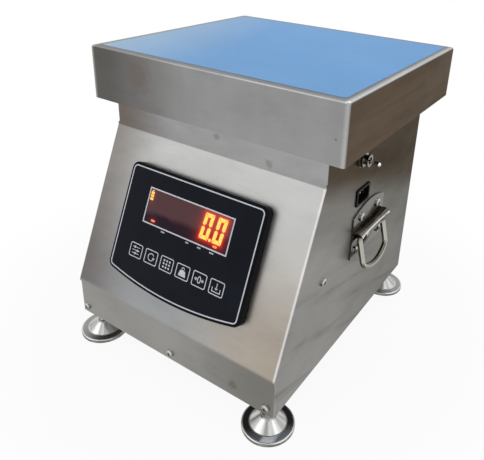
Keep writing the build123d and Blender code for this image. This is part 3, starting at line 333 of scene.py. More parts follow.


# Pan: its front skirt and its right skirt with painted reflections, the lip round the film with a painted
# highlight, and the ground corners with a painted highlight
PAN_MIDDLE_Y = 0.035
SKIRT_RIGHT = (-0.135, 0.01)
SKIRT_REFLECTION_SHADES = ((0.115, 0.11, 0.105), (0.295, 0.298, 0.297))
BAR_STRETCH = (26, 3, 2)
BAR_SHADING = (0.93, 1.06)
# Soft dark marks on the pan's front skirt at given places
PAN_MARKS = (
    (((-0.083, -0.098, 0.300, 0.022),), (0.155, 0.12, 0.105), 0.5),
    (((0.140, -0.098, 0.287, 0.0014),), (0.06, 0.055, 0.05), 0.55),
)
RIGHT_SKIRT_FROM = (0.1495, 0.1499)
RIGHT_SKIRT_STRETCH = (3, 5, 70)
RIGHT_SKIRT_BANDS = (0.38, 0.62)
RIGHT_SKIRT_REFLECTION_SHADES = ((0.106, 0.081, 0.064), (0.128, 0.100, 0.081))
RIGHT_SKIRT_TO_BACK = (-0.02, 0.14, 1.0, 0.78)
LIP_FROM = (0.3188, 0.3195)
LIP_ENDS = (0.1440, 0.1470)
LIP_HIGHLIGHT_SHADES = ((0.305, 0.315, 0.33), (0.62, 0.645, 0.68))
CORNER_ACROSS = (0.1440, 0.1492)
CORNER_ALONG = (0.1318, 0.1327)
CORNER_GROUND_AND_HIGHLIGHT = (0.46, 0.455, 0.43)


def pan_tones_and_painted_light(finish):
    """The front skirt darkens to the left and the right skirt is brown, both painted reflections; the lip is
    brighter along the sides, a painted highlight; the corners are ground bright, helped by a painted
    highlight.
    """
    x, y, z = finish.axes()
    bars = finish.noise(BAR_STRETCH, detail=3.0, rough=0.6)
    # Painted reflection: the front skirt darkens to the left
    front = finish.mix(finish.span(x, *SKIRT_RIGHT, smooth=True), *SKIRT_REFLECTION_SHADES)
    colour = finish.scaled(front, finish.span(bars, *NOISE_RANGE, *BAR_SHADING))
    colour = soft_marks(finish, colour, PAN_MARKS)
    # Painted reflection: the right skirt is brown and darker to the back
    bands = finish.noise(RIGHT_SKIRT_STRETCH, detail=3.0, rough=0.6, distort=0.4)
    brown = finish.mix(finish.span(bands, *RIGHT_SKIRT_BANDS), *RIGHT_SKIRT_REFLECTION_SHADES)
    brown = finish.scaled(brown, finish.span(y, *RIGHT_SKIRT_TO_BACK))
    colour = finish.mix(finish.span(x, *RIGHT_SKIRT_FROM, smooth=True), colour, brown)
    # Painted highlight on the lip along the sides
    lip = finish.mix(finish.span(finish.apart(x), *LIP_ENDS), *LIP_HIGHLIGHT_SHADES)
    colour = finish.mix(finish.span(z, *LIP_FROM), colour, lip)
    # Ground corners, made brighter by a painted highlight
    across = finish.span(finish.apart(x), *CORNER_ACROSS, smooth=True)
    along = finish.span(finish.apart(y, PAN_MIDDLE_Y), *CORNER_ALONG)
    return finish.mix(finish.times(across, along), colour, CORNER_GROUND_AND_HIGHLIGHT)


PLATED_DARK = 0.72           # darkest shade of plated steel as a share of its tone
PLATED_STRETCH = (900, 900, 2400)
PLATED_RELIEF = (0.05, 0.0001)


def plated(name, tone, rough, scale=90):
    """Plated or machined metal with a faint haze."""
    finish = Finish(name)
    haze = finish.even_noise(scale, detail=4.0, rough=0.6)
    fine = finish.noise(PLATED_STRETCH, detail=2.0)
    dark = tuple(channel * PLATED_DARK for channel in tone)
    finish.set(Base_Color=finish.mix(finish.span(haze, *NOISE_RANGE), dark, tone), Metallic=1.0)
    finish.set(Roughness=finish.span(haze, *NOISE_RANGE, *rough))
    return finish.bump(fine, *PLATED_RELIEF)


# Painted reflections and shade of the polished pieces, by the way a spot faces, from 0 for down to 1 for up
FASTENER_STOPS = ((0.30, (0.12, 0.11, 0.10)), (0.50, (0.30, 0.29, 0.27)), (0.72, (0.62, 0.61, 0.59)))
HANDLE_STOPS = ((0.25, (0.045, 0.034, 0.024)), (0.44, (0.090, 0.072, 0.054)), (0.50, (0.100, 0.092, 0.080)),
                (0.55, (0.075, 0.058, 0.042)), (0.68, (0.095, 0.076, 0.056)), (0.74, (0.70, 0.69, 0.65)),
                (0.82, (0.62, 0.60, 0.56)), (0.88, (0.13, 0.11, 0.09)))
BAIL_STOPS = ((0.25, (0.050, 0.041, 0.031)), (0.48, (0.150, 0.136, 0.110)), (0.60, (0.50, 0.49, 0.44)),
              (0.72, (0.26, 0.24, 0.20)), (0.95, (0.11, 0.096, 0.075)))
NUT_STOPS = ((0.30, (0.50, 0.49, 0.47)), (0.60, (0.80, 0.79, 0.76)))
STUD_STOPS = ((0.30, (0.22, 0.215, 0.20)), (0.48, (0.55, 0.54, 0.52)), (0.60, (0.68, 0.67, 0.65)))
FOOT_STOPS = ((0.50, (0.15, 0.145, 0.135)), (0.68, (0.27, 0.27, 0.26)), (0.82, (0.46, 0.46, 0.45)),
              (0.95, (0.66, 0.66, 0.65)))
SWITCH_STOPS = ((0.25, (0.08, 0.07, 0.06)), (0.50, (0.21, 0.195, 0.17)), (0.66, (0.50, 0.48, 0.44)))
LEVER_STOPS = ((0.25, (0.30, 0.28, 0.24)), (0.50, (0.60, 0.58, 0.53)), (0.66, (0.80, 0.79, 0.76)))
PATCH_SCALE = 2.6
POLISH_HAZE = 110


def polished_with_painted_reflections(name, stops, rough=(0.10, 0.20), patch=0.08):
    """Polished steel with painted reflections and shade, coloured by the way each spot faces; patch is how
    unevenly.
    """
    finish = Finish(name)
    facing = finish.tree.nodes.new("ShaderNodeTexCoord").outputs["Normal"]
    x, y, z = finish.axes(facing)
    reflection_patches = finish.noise((1, 1, 1), scale=PATCH_SCALE, detail=1.0, place=facing)
    haze = finish.even_noise(POLISH_HAZE, detail=3.0, rough=0.6)
    # Painted reflections: the colour follows how far a spot faces up, shifted by patches
    lift = finish.plus(finish.span(z, -1.0, 1.0), finish.span(reflection_patches, *NOISE_RANGE, -patch, patch))
    ramp = finish.tree.nodes.new("ShaderNodeValToRGB")
    marks = ramp.color_ramp.elements
    marks.remove(marks[-1])
    marks[0].position = stops[0][0]
    for place, colour in stops[1:]:
        marks.new(place)
    for mark, (place, colour) in zip(marks, stops):
        mark.color = (*colour, 1.0)
    finish.put(ramp.inputs["Fac"], lift)
    finish.set(Base_Color=ramp.outputs["Color"], Metallic=1.0)
    return finish.set(Roughness=finish.span(haze, *NOISE_RANGE, *rough))


# Feet: the middle of each, and the painted shade and reflections of the flat ring round the cone
FOOT_X = 0.115
FOOT_MIDDLE_Y = -0.0065
FOOT_REACH_Y = 0.1355
FOOT_FRONT_Y = FOOT_MIDDLE_Y - FOOT_REACH_Y
RING_INSIDE = (0.0178, 0.0190)
RING_OUTSIDE = (0.0240, 0.0250)
RING_METAL = 0.35
RING_OUTWARD = (-0.018, 0.016)
# Painted shade: the ring is dark on its side towards the middle
RING_PAINTED_SHADES = ((0.055, 0.054, 0.052), (0.36, 0.355, 0.345))
NEAR_X = (0.0, 0.05)
NEAR_Y = (0.0, -0.05)
NEAR_OUTWARD = (0.006, 0.028)
# Painted reflection on the front right foot's ring, and its painted glint
NEAR_RING_REFLECTION_SHADES = ((0.010, 0.010, 0.011), (0.16, 0.18, 0.21))
GLINT_Y = (FOOT_FRONT_Y, FOOT_FRONT_Y - 0.018)
GLINT_X = FOOT_X + 0.012
GLINT_HALF = (0.007, 0.004)
GLINT_SHADE = (0.80, 0.81, 0.82)


def foot_steel():
    """A polished foot: its cone is patched with painted light, and its flat ring has painted shade, dark
    towards the middle; the front right foot's ring has a painted reflection and a painted glint.
    """
    finish = polished_with_painted_reflections("steel_foot", FOOT_STOPS, rough=(0.20, 0.32), patch=0.22)
    x, y, z = finish.axes()
    across = finish.math("SUBTRACT", finish.apart(x), FOOT_X)
    along = finish.math("SUBTRACT", finish.apart(y, FOOT_MIDDLE_Y), FOOT_REACH_Y)
    radius = finish.math("SQRT", finish.plus(finish.times(across, across), finish.times(along, along)))
    ring = finish.times(finish.span(radius, *RING_INSIDE, smooth=True),
                        finish.span(radius, *RING_OUTSIDE, 1.0, 0.0, smooth=True))
    # Painted reflection and glint on the front right foot's ring
    outward = finish.span(finish.plus(across, along), *NEAR_OUTWARD, smooth=True)
    glint = finish.times(finish.span(y, *GLINT_Y), finish.span(finish.apart(x, GLINT_X), *GLINT_HALF))
    near_ring = finish.mix(glint, finish.mix(outward, *NEAR_RING_REFLECTION_SHADES), GLINT_SHADE)
    near = finish.times(finish.span(x, *NEAR_X), finish.span(y, *NEAR_Y))
    # Painted shade: dark towards the middle
    far_ring = finish.mix(finish.span(across, *RING_OUTWARD, smooth=True), *RING_PAINTED_SHADES)
    flat = finish.mix(near, far_ring, near_ring)
    finish.set(Base_Color=finish.mix(ring, finish.base_colour(), flat))
    return finish.set(Metallic=finish.span(ring, 0.0, 1.0, 1.0, RING_METAL))


BUSH_FROM = (0.1285, 0.1290)
SWITCH_BLOCK_SHADE = (0.012, 0.012, 0.013)


def switch_steel():
    """The switch: a black block behind the panel and a plated bush in front of it."""
    finish = polished_with_painted_reflections("switch_body", SWITCH_STOPS)
    x, y, z = finish.axes()
    outside = finish.span(x, *BUSH_FROM)
    colour = finish.mix(outside, SWITCH_BLOCK_SHADE, finish.base_colour())
    return finish.set(Base_Color=colour, Metallic=outside)


MOULDED_HAZE = 28
MOULDED_HAZE_RANGE = (0.35, 0.75)
MOULDED_DEPTH = 0.0002


def moulded(name, tone, rough, grain=2200, strength=0.05, specular=0.5):
    """Moulded plastic or rubber with a fine grain and a little handling haze."""
    finish = Finish(name)
    haze = finish.even_noise(MOULDED_HAZE, detail=4.0, rough=0.6)
    fine = finish.even_noise(grain, detail=2.0)
    pale = tuple(channel * 1.35 + 0.002 for channel in tone)
    finish.set(Base_Color=finish.mix(finish.span(haze, *MOULDED_HAZE_RANGE), tone, pale))
    finish.set(Roughness=finish.span(haze, *NOISE_RANGE, *rough), Specular_IOR_Level=specular)
    return finish.bump(fine, strength, MOULDED_DEPTH)


# Film on the pan: its shades, how a painted sheen pales them towards the front and its left corner, and its
# ripples
FILM_CLOUDS = 9
FILM_SHADES = ((0.066, 0.284, 0.615), (0.092, 0.330, 0.670))
FILM_SHEEN_SHADE = (0.36, 0.50, 0.62)
FILM_CORNER = (-0.03, -0.16, 0.0, 0.75)
FILM_CORNER_LEAN = 0.3
FILM_FRONT = (0.0, -0.10, 0.0, 0.10)
FILM_ROUGH = (0.34, 0.46)
FILM_RIPPLES = (26, 70, 30)
FILM_RELIEF = (0.12, 0.0015)


def blue_film():
    """Blue protective film, with a painted sheen that makes it paler towards the front left corner."""
    finish = Finish("film_blue")
    x, y, z = finish.axes()
    clouds = finish.even_noise(FILM_CLOUDS, detail=3.0, rough=0.5, distort=0.5)
    ripple = finish.noise(FILM_RIPPLES, detail=3.0, rough=0.6)
    specks = finish.even_noise(700, detail=1.0)
    corner = finish.span(finish.plus(finish.times(y, FILM_CORNER_LEAN), x), *FILM_CORNER)
    pale = finish.math("MAXIMUM", corner, finish.span(y, *FILM_FRONT, smooth=True))
    colour = finish.mix(finish.span(clouds, *NOISE_RANGE), *FILM_SHADES)
    # Painted sheen: paler towards the front and the front left corner
    finish.set(Base_Color=finish.mix(pale, colour, FILM_SHEEN_SHADE))
    finish.set(Roughness=finish.span(specks, *NOISE_RANGE, *FILM_ROUGH), Specular_IOR_Level=0.22)
    return finish.bump(ripple, *FILM_RELIEF)


PRINT_SHADES = ((0.62, 0.64, 0.68), (0.78, 0.79, 0.82))
PRINT_ROUGH = (0.34, 0.46)


def print_white():
    finish = Finish("print_white")
    worn = finish.even_noise(500, detail=3.0, rough=0.6)
    finish.set(Base_Color=finish.mix(finish.span(worn, *NOISE_RANGE), *PRINT_SHADES))
    return finish.set(Roughness=finish.span(worn, *NOISE_RANGE, *PRINT_ROUGH))


UNLIT_SHADE = (0.05, 0.01, 0.01)
LIT_SPREAD = (0.35, 0.65)


def lit(name, core, edge, strength):
    """A lit segment: its colour is mottled at random between a paler core colour and an edge colour."""
    finish = Finish(name)
    spread = finish.span(finish.even_noise(350, detail=2.0), *LIT_SPREAD)
    finish.set(Base_Color=UNLIT_SHADE, Roughness=0.4)
    return finish.set(Emission_Color=finish.mix(spread, edge, core), Emission_Strength=strength)


# Pane over the display: its lower and upper shades, where they meet, and the shades of its glow
PANE_SHADES = ((0.020, 0.006, 0.016), (0.115, 0.050, 0.054))
PANE_UP = (0.155, 0.187)
PANE_LEAN = 0.05
PANE_TURN = (0.36, 0.62)
PANE_SMOKE = (14, 14, 30)
PANE_SMOKE_REACH = (-0.08, 0.08)
PANE_ROUGH = (0.06, 0.12)
PANE_HEAT_SHADES = ((0.0, 0.0, 0.0), (1.0, 0.045, 0.01))
PANE_GLOW = 0.9


def window_glass():
    """The smoked red pane, paler in its upper part, with the glow that spreads round the lit segments."""
    finish = Finish("window_glass")
    x, y, z = finish.axes()
    smoke = finish.noise(PANE_SMOKE, detail=2.0, rough=0.5, distort=0.8)
    slant = finish.math("SUBTRACT", z, finish.times(x, PANE_LEAN))
    upper = finish.plus(finish.span(slant, *PANE_UP), finish.span(smoke, *NOISE_RANGE, *PANE_SMOKE_REACH))
    glow = finish.tree.nodes.new("ShaderNodeAttribute")
    glow.attribute_name = "glow"
    finish.set(Base_Color=finish.mix(finish.span(upper, *PANE_TURN, smooth=True), *PANE_SHADES))
    finish.set(Roughness=finish.span(smoke, *NOISE_RANGE, *PANE_ROUGH), Specular_IOR_Level=0.12)
    heat = finish.mix(glow.outputs["Fac"], *PANE_HEAT_SHADES)
    return finish.set(Emission_Color=heat, Emission_Strength=PANE_GLOW)


STEEL = (0.30, 0.298, 0.29)
MACHINED = (0.55, 0.56, 0.57)
finishes = {
    "front": sheet_steel("steel_front", front_painted_light),
    "side": sheet_steel("steel_side", side_painted_light),
    "rear": sheet_steel("steel_rear", STEEL),
    "pan": sheet_steel("steel_pan", pan_tones_and_painted_light, rough=(0.26, 0.38), edge=(0.56, 0.52, 0.47)),
    "deck": sheet_steel("steel_deck", STEEL, brushed="across"),
    "bracket": plated("zinc_plate", (0.36, 0.37, 0.38), rough=(0.35, 0.5), scale=60),
    "cell": sheet_steel("cell_machined", MACHINED, rough=(0.25, 0.35), brushed="across"),
    "fastener": polished_with_painted_reflections("steel_bright", FASTENER_STOPS, rough=(0.14, 0.24)),
    "handle": polished_with_painted_reflections("steel_handle", HANDLE_STOPS, patch=0.03),
    "bail": polished_with_painted_reflections("steel_bail", BAIL_STOPS),
    "stud": polished_with_painted_reflections("steel_stud", STUD_STOPS),
    "nut": polished_with_painted_reflections("steel_nut", NUT_STOPS),
    "foot": foot_steel(),
    "core": moulded("core_iron", (0.10, 0.10, 0.105), rough=(0.4, 0.6)),
    "moulding": moulded("black_moulding", (0.006, 0.006, 0.007), rough=(0.30, 0.45), strength=0.02,
                        specular=0.03),
    "plastic": moulded("black_plastic", (0.005, 0.005, 0.006), rough=(0.3, 0.45), specular=0.03),
    "overlay": moulded("overlay_black", (0.0050, 0.0068, 0.0120), rough=(0.20, 0.30), strength=0.02,
                       specular=0.08),
    "key": moulded("key_black", (0.0045, 0.0062, 0.0110), rough=(0.24, 0.34), strength=0.03, specular=0.08),
    "digit": moulded("digit_grey", (0.10, 0.10, 0.10), rough=(0.4, 0.6)),
    "board": moulded("board_green", (0.012, 0.095, 0.035), rough=(0.3, 0.5)),
    "battery": moulded("battery_case", (0.05, 0.055, 0.06), rough=(0.35, 0.55)),
    "brass": plated("pin_brass", (0.62, 0.50, 0.26), rough=(0.2, 0.32)),
    "switch": polished_with_painted_reflections("switch_metal", SWITCH_STOPS),
    "lever": polished_with_painted_reflections("lever_metal", LEVER_STOPS, patch=0.03),
    "switch_body": switch_steel(),
    "rubber": moulded("rubber_black", (0.015, 0.015, 0.015), rough=(0.6, 0.8), grain=900, strength=0.2),
    "film": blue_film(),
    "ink": print_white(),
    "glass": window_glass(),
    "digits_lit": lit("segments_lit", (1.0, 0.74, 0.13), (1.0, 0.60, 0.07), 1.15),
    "lamp_lit": lit("lamp_lit", (1.0, 0.30, 0.10), (1.0, 0.16, 0.05), 1.2),
    "level_lit": lit("level_lit", (1.0, 0.62, 0.12), (1.0, 0.42, 0.05), 1.2),
}

worn_by = {
    "front": ("front_panel",),
    "side": ("right_side_panel", "left_side_panel"),
    "rear": ("rear_panel", "base_tray"),
    "pan": ("pan",),
    "deck": ("top_deck", "power_shelf"),
    "bracket": ("pan_spider", "lower_cell_spacer", "upper_cell_spacer", "load_cell_bridge", "battery_strap",
                "indicator_cover", "board_standoffs"),
    "cell": ("load_cell",),
    "nut": ("foot_nuts",),
    "fastener": ("handle_nuts", "handle_screws", "housing_screws", "indicator_screws",
                 "lower_cell_bolts", "upper_cell_bolts", "overload_stops"),
    "handle": ("handle_plate_right", "handle_plate_left"),
    "bail": ("handle_bail_right", "handle_bail_left"),
    "core": ("transformer",),
    "moulding": ("indicator_bezel",),
    "plastic": ("power_inlet", "key_switches"),
    "switch_body": ("toggle_body",),
    "overlay": ("keypad_overlay",),
    "key": tuple(f"key_{i}" for i in range(1, 7)),
    "digit": ("digit_modules",),
    "board": ("display_board", "main_board"),
    "battery": ("battery",),
    "brass": ("inlet_pins",),
    "switch": ("toggle_nut",),
    "lever": ("toggle_lever",),
    "rubber": ("indicator_gasket", "spider_pads"),
    "film": ("pan_film",),
    "foot": tuple(f"foot_pad_{end}_{side}" for end in ("front", "rear") for side in ("left", "right")),
    "stud": tuple(f"foot_stud_{end}_{side}" for end in ("front", "rear") for side in ("left", "right")),
    "glass": ("display_window",),
}
for finish, nodes in worn_by.items():
    for node in nodes:
        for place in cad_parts[node].material_slots:
            place.material = finishes[finish].material


# Pieces
MITRE_LIMIT = 0.5            # keeps a sharp corner of a line within twice its width
TINY = 1e-6
BEZEL_CORNER_STEPS = 8
BEZEL_BOW_STEPS = 24


def piece(name, mesh, finish, body):
    """Makes a piece from a bmesh, gives it its finish and lets it ride on its body."""
    bmesh.ops.recalc_face_normals(mesh, faces=mesh.faces)
    data = bpy.data.meshes.new(name)
    mesh.to_mesh(data)
    mesh.free()
    made = bpy.data.objects.new(name, data)
    scene.collection.objects.link(made)
    data.materials.append(finishes[finish].material)
    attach(made, body)
    return made


def arc(x, s, reach_x, reach_s, start, end, steps):
    """Places along an oval from the angle start to the angle end, in degrees."""
    turns = [radians(start + (end - start) * step / steps) for step in range(steps + 1)]
    return [(x + reach_x * cos(turn), s + reach_s * sin(turn)) for turn in turns]


def oval(x, s, reach_x, reach_s, steps):
    return arc(x, s, reach_x, reach_s, 0, 360, steps)[:-1]


def rounded(x0, s0, x1, s1, radius, steps=6):
    """Outline of a rectangle with round corners, clockwise from its upper right."""
    points = []
    for x, s, start in ((x1 - radius, s0 + radius, -90), (x1 - radius, s1 - radius, 0),
                        (x0 + radius, s1 - radius, 90), (x0 + radius, s0 + radius, 180)):
        points += arc(x, s, radius, radius, start, start + 90, steps)
    return points


def bezel_line(inset):
    """The bezel's outline moved in by inset: straight sides, round corners and a bowed lower edge."""
    radius = BEZEL_CORNER - inset
    sweep = (BEZEL_HALF ** 2 + BEZEL_BOW ** 2) / (2 * BEZEL_BOW)
    centre = BEZEL_TOP + BEZEL_SIDE + BEZEL_BOW - sweep
    reach = sweep - inset
    corner_x = BEZEL_HALF - BEZEL_CORNER
    corner_s = centre + sqrt((reach - radius) ** 2 - corner_x ** 2)
    lean = degrees(atan2(corner_x, corner_s - centre))
    right = arc(corner_x, BEZEL_TOP + BEZEL_CORNER, radius, radius, -90, 0, BEZEL_CORNER_STEPS)
    right += arc(corner_x, corner_s, radius, radius, 0, 90 - lean, BEZEL_CORNER_STEPS)
    bow = arc(0, centre, reach, reach, 90 - lean, 90 + lean, BEZEL_BOW_STEPS)[1:-1]
    return right + bow + [(-x, s) for x, s in reversed(right)]


def stroke(mesh, points, width, out, thickness=INK, closed=True):
    """A raised line of the print along points, with mitred corners."""
    count = len(points)
    rows = []
    for i, (x, s) in enumerate(points):
        before = points[i - 1] if closed or i else points[i]
        after = points[(i + 1) % count] if closed or i < count - 1 else points[i]
        first = Vector((x - before[0], s - before[1]))
        second = Vector((after[0] - x, after[1] - s))
        if first.length < TINY:
            first = second
        if second.length < TINY:
            second = first
        first.normalize()
        second.normalize()
        along = (first + second).normalized()
        side = Vector((-along.y, along.x))
        square = max(MITRE_LIMIT, side.dot(Vector((-first.y, first.x))))
        side *= width / 2 / square
        low = [on_slope(x + sign * side.x, s + sign * side.y, out) for sign in (-1, 1)]
        high = [on_slope(x + sign * side.x, s + sign * side.y, out + thickness) for sign in (1, -1)]
        rows.append([mesh.verts.new(corner) for corner in low + high])
    last = count if closed else count - 1
    for i in range(last):
        here, there = rows[i], rows[(i + 1) % count]
        for k in range(4):
            mesh.faces.new((here[k], here[(k + 1) % 4], there[(k + 1) % 4], there[k]))
    if not closed:
        mesh.faces.new(rows[0])
        mesh.faces.new(rows[-1])


def plate(mesh, points, out, thickness=INK):
    """A flat printed patch with the outline points."""
    low = [mesh.verts.new(on_slope(x, s, out)) for x, s in points]
    high = [mesh.verts.new(on_slope(x, s, out + thickness)) for x, s in points]
    mesh.faces.new(low)
    mesh.faces.new(high)
    for i in range(len(points)):
        j = (i + 1) % len(points)
        mesh.faces.new((low[i], low[j], high[j], high[i]))


def disc(mesh, x, s, radius, out, thickness=INK, steps=20):
    plate(mesh, oval(x, s, radius, radius, steps), out, thickness)


def patch(mesh, x, s, size, radius, out, thickness=INK, steps=2):
    """A rectangle with round corners and its middle at x and s."""
    half_x, half_s = (length / 2 for length in size)
    plate(mesh, rounded(x - half_x, s - half_s, x + half_x, s + half_s, radius, steps), out, thickness)


# Printed lines on the face
mesh = bmesh.new()
stroke(mesh, bezel_line(BORDER_INSET), BORDER_WIDTH, FACE_OUT)
piece("print_border", mesh, "ink", "housing")

mesh = bmesh.new()
left, top, right, bottom = WINDOW_PRINT
stroke(mesh, [(left, top), (right, top), (right, bottom), (left, bottom)], WINDOW_LINE, FACE_OUT)
piece("print_window_frame", mesh, "ink", "housing")

# Black margin that carries the printed line over the pane
MARGIN_CORNER = 0.05
x0, s0, x1, s1 = WINDOW
mesh = bmesh.new()
for margin in ((x0, s0, left, s1), (right, s0, x1, s1), (left, bottom, right, s1)):
    plate(mesh, rounded(*margin, MARGIN_CORNER, 1), PANE_OUT, FACE_OUT - PANE_OUT)
piece("window_margin", mesh, "overlay", "housing")

# Small marks under the window, one under each place that an indicator lamp has; each is three dashes
MARK_S = 89.0
MARK_HEIGHT = 1.4
MARK_GAP = 0.5
MARK_CORNER = 0.1
MARK_DASHES = 3
MARKS = ((-24.9, 5.0), (7.0, 4.0), (22.1, 4.6), (37.4, 5.4))
mesh = bmesh.new()
for x, width in MARKS:
    pitch = width / MARK_DASHES
    for dash in range(MARK_DASHES):
        middle = x - width / 2 + (dash + 0.5) * pitch - MARK_GAP / 2
        patch(mesh, middle, MARK_S, (pitch - MARK_GAP, MARK_HEIGHT), MARK_CORNER, FACE_OUT, steps=1)
piece("print_marks", mesh, "ink", "housing")

# Lit digits
DIGIT_GAP = 0.35
LIT_THICKNESS = 0.05
POINT = (31.3, 78.2, 1.5)    # x, s and radius


def lean(x, s, centre):
    return centre + x + (DIGIT_S - s) * DIGIT_LEAN, s


def segments(centre):
    """The six lit strokes of a zero, as leaning outlines."""
    w, h, t, gap = DIGIT_WIDTH / 2, DIGIT_HEIGHT / 2, DIGIT_STROKE, DIGIT_GAP
    top, middle, bottom = DIGIT_S - h, DIGIT_S, DIGIT_S + h
    shapes = []
    for s, inward in ((top, t), (bottom, -t)):
        shapes.append([(-w + gap, s), (w - gap, s), (w - t, s + inward), (-w + t, s + inward)])
    for side in (-1, 1):
        for outer, inner, sign in ((top, middle, 1), (bottom, middle, -1)):
            shapes.append([(side * w, outer + sign * gap * 1.6),
                           (side * (w - t), outer + sign * (t + gap)),
                           (side * (w - t), inner - sign * (t + gap) / 2),
                           (side * (w - t / 2), inner - sign * gap),
                           (side * w, inner - sign * (gap + t / 3))])
    return [[lean(x, s, centre) for x, s in shape] for shape in shapes]


lit_shapes = [shape for centre in DIGIT_X for shape in segments(centre)]
mesh = bmesh.new()
for shape in lit_shapes:
    plate(mesh, shape, PANE_OUT, LIT_THICKNESS)
disc(mesh, *POINT, PANE_OUT, LIT_THICKNESS)
piece("digits_lit", mesh, "digits_lit", "housing")

# Indicator lamps
LAMPS = ((-41.0, 82.3), (38.9, 82.3))
LAMP_SIZE = (5.0, 2.0)
LAMP_CORNER = 0.9
mesh = bmesh.new()
for x, s in LAMPS:
    patch(mesh, x, s, LAMP_SIZE, LAMP_CORNER, PANE_OUT, LIT_THICKNESS, 3)
piece("indicator_lamps", mesh, "lamp_lit", "housing")

# Charge level: three bars under a cap
LEVEL_X = -49.6
LEVEL_BARS_S = (55.45, 58.55, 61.65)
LEVEL_BAR = (4.2, 2.5)
LEVEL_BAR_CORNER = 0.4
LEVEL_CAP_S = 53.15
LEVEL_CAP = (2.0, 1.1)
LEVEL_CAP_CORNER = 0.3
mesh = bmesh.new()
for s in LEVEL_BARS_S:
    patch(mesh, LEVEL_X, s, LEVEL_BAR, LEVEL_BAR_CORNER, PANE_OUT, LIT_THICKNESS)
patch(mesh, LEVEL_X, LEVEL_CAP_S, LEVEL_CAP, LEVEL_CAP_CORNER, PANE_OUT, LIT_THICKNESS)
piece("charge_level", mesh, "level_lit", "housing")

# Glow on the pane: how bright it is at its source and the millimetres it fades over
DIGIT_GLOWS = ((0.85, 1.3), (0.24, 4.5))
LAMP_GLOW = (0.8, 1.6)
LAMP_GLOW_SQUASH = 1.5
LEVEL_GLOW = (0.5, 1.6)
LEVEL_GLOW_SQUASH = 0.5
LEVEL_GLOW_S = 58.5


def distance(x, s, shape):
    """How far a place is from a closed outline, and 0 inside it."""
    nearest = 1e9
    inside = False
    for i, (ax, ay) in enumerate(shape):
        bx, by = shape[i - 1]
        dx, dy = bx - ax, by - ay
        share = max(0.0, min(1.0, ((x - ax) * dx + (s - ay) * dy) / (dx * dx + dy * dy)))
        nearest = min(nearest, hypot(x - ax - share * dx, s - ay - share * dy))
        if (ay > s) != (by > s) and x < (bx - ax) * (s - ay) / (by - ay) + ax:
            inside = not inside
    return 0.0 if inside else nearest


def fading(glow, away):
    bright, reach = glow
    return bright * exp(-away / reach)


def glow_at(x, s):
    """How bright the glow is at a place on the pane, from 0 to 1."""
    near = min(distance(x, s, shape) for shape in lit_shapes)
    near = min(near, max(0.0, hypot(x - POINT[0], s - POINT[1]) - POINT[2]))
    light = sum(fading(glow, near) for glow in DIGIT_GLOWS)
    for lamp_x, lamp_s in LAMPS:
        light += fading(LAMP_GLOW, hypot(x - lamp_x, (s - lamp_s) * LAMP_GLOW_SQUASH))
    light += fading(LEVEL_GLOW, hypot(x - LEVEL_X, (s - LEVEL_GLOW_S) * LEVEL_GLOW_SQUASH))
    return min(1.0, light)


def rim(side):
    """The corners round a grid's edge, in order."""
    inner = side[1:-1]
    return side[0] + [line[-1] for line in inner] + side[-1][::-1] + [line[0] for line in reversed(inner)]


# The pane: a fine grid that carries the glow, on both of its sides
PANE_STEP = 0.75
PANE_THICKNESS = 2.0
mesh = bmesh.new()
glow_layer = mesh.verts.layers.float.new("glow")
columns = round((x1 - x0) / PANE_STEP)
rows = round((s1 - s0) / PANE_STEP)
sides = {PANE_OUT: [], PANE_OUT - PANE_THICKNESS: []}
for row in range(rows + 1):
    s = s0 + (s1 - s0) * row / rows
    line = [x0 + (x1 - x0) * column / columns for column in range(columns + 1)]
    glows = [glow_at(x, s) for x in line]
    for out, side in sides.items():
        side.append([mesh.verts.new(on_slope(x, s, out)) for x in line])
        for corner, glow in zip(side[-1], glows):
            corner[glow_layer] = glow
for side in sides.values():
    for upper, lower in zip(side, side[1:]):
        for column in range(columns):
            mesh.faces.new((upper[column], lower[column], lower[column + 1], upper[column + 1]))
front_rim, back_rim = (rim(side) for side in sides.values())
for i in range(len(front_rim)):
    mesh.faces.new((front_rim[i - 1], front_rim[i], back_rim[i], back_rim[i - 1]))
pane = piece("display_pane", mesh, "glass", "housing")
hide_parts("display_window")

# Keys: an outline and a plain symbol on each
KEY_LINE = 0.9
KEY_CORNER = 1.6
KNOB_THICKNESS = INK * 1.5
ARROW_LINE = 0.7
ARROW_HEAD = 1.7
ARROW_HALF = 1.5


def drawn(mesh, points, width):
    """An open line on a key."""
    stroke(mesh, points, width, KEY_OUT, closed=False)


def arrow(mesh, x, s, reach, turn):
    """A short arrow that points along turn."""
    ahead = Vector((cos(turn), sin(turn)))
    side = Vector((-ahead.y, ahead.x)) * ARROW_HALF
    tip = Vector((x, s)) + ahead * reach
    tail = Vector((x, s)) - ahead * reach
    behind = tip - ahead * ARROW_HEAD
    drawn(mesh, [tail, tip], ARROW_LINE)
    drawn(mesh, [behind + side, tip, behind - side], ARROW_LINE)


def settings(mesh, x, s):
    """Three sliders."""
    for row, knob in ((-3.2, -2.0), (0.0, 2.2), (3.2, -0.4)):
        drawn(mesh, [(x - 4.8, s + row), (x + 4.8, s + row)], 0.6)
        disc(mesh, x + knob, s + row, 1.2, KEY_OUT, KNOB_THICKNESS, 14)


def cycle(mesh, x, s):
    """A ring with an arrow head."""
    drawn(mesh, arc(x, s, 3.6, 3.6, 40, 330, 20), 0.8)
    arrow(mesh, x + 3.4, s + 0.6, 1.2, radians(80))


def pieces_grid(mesh, x, s):
    """Nine small squares."""
    for row in (-3.3, 0.0, 3.3):
        for column in (-3.6, 0.0, 3.6):
            patch(mesh, x + column, s + row, (2.0, 2.0), 0.6, KEY_OUT)


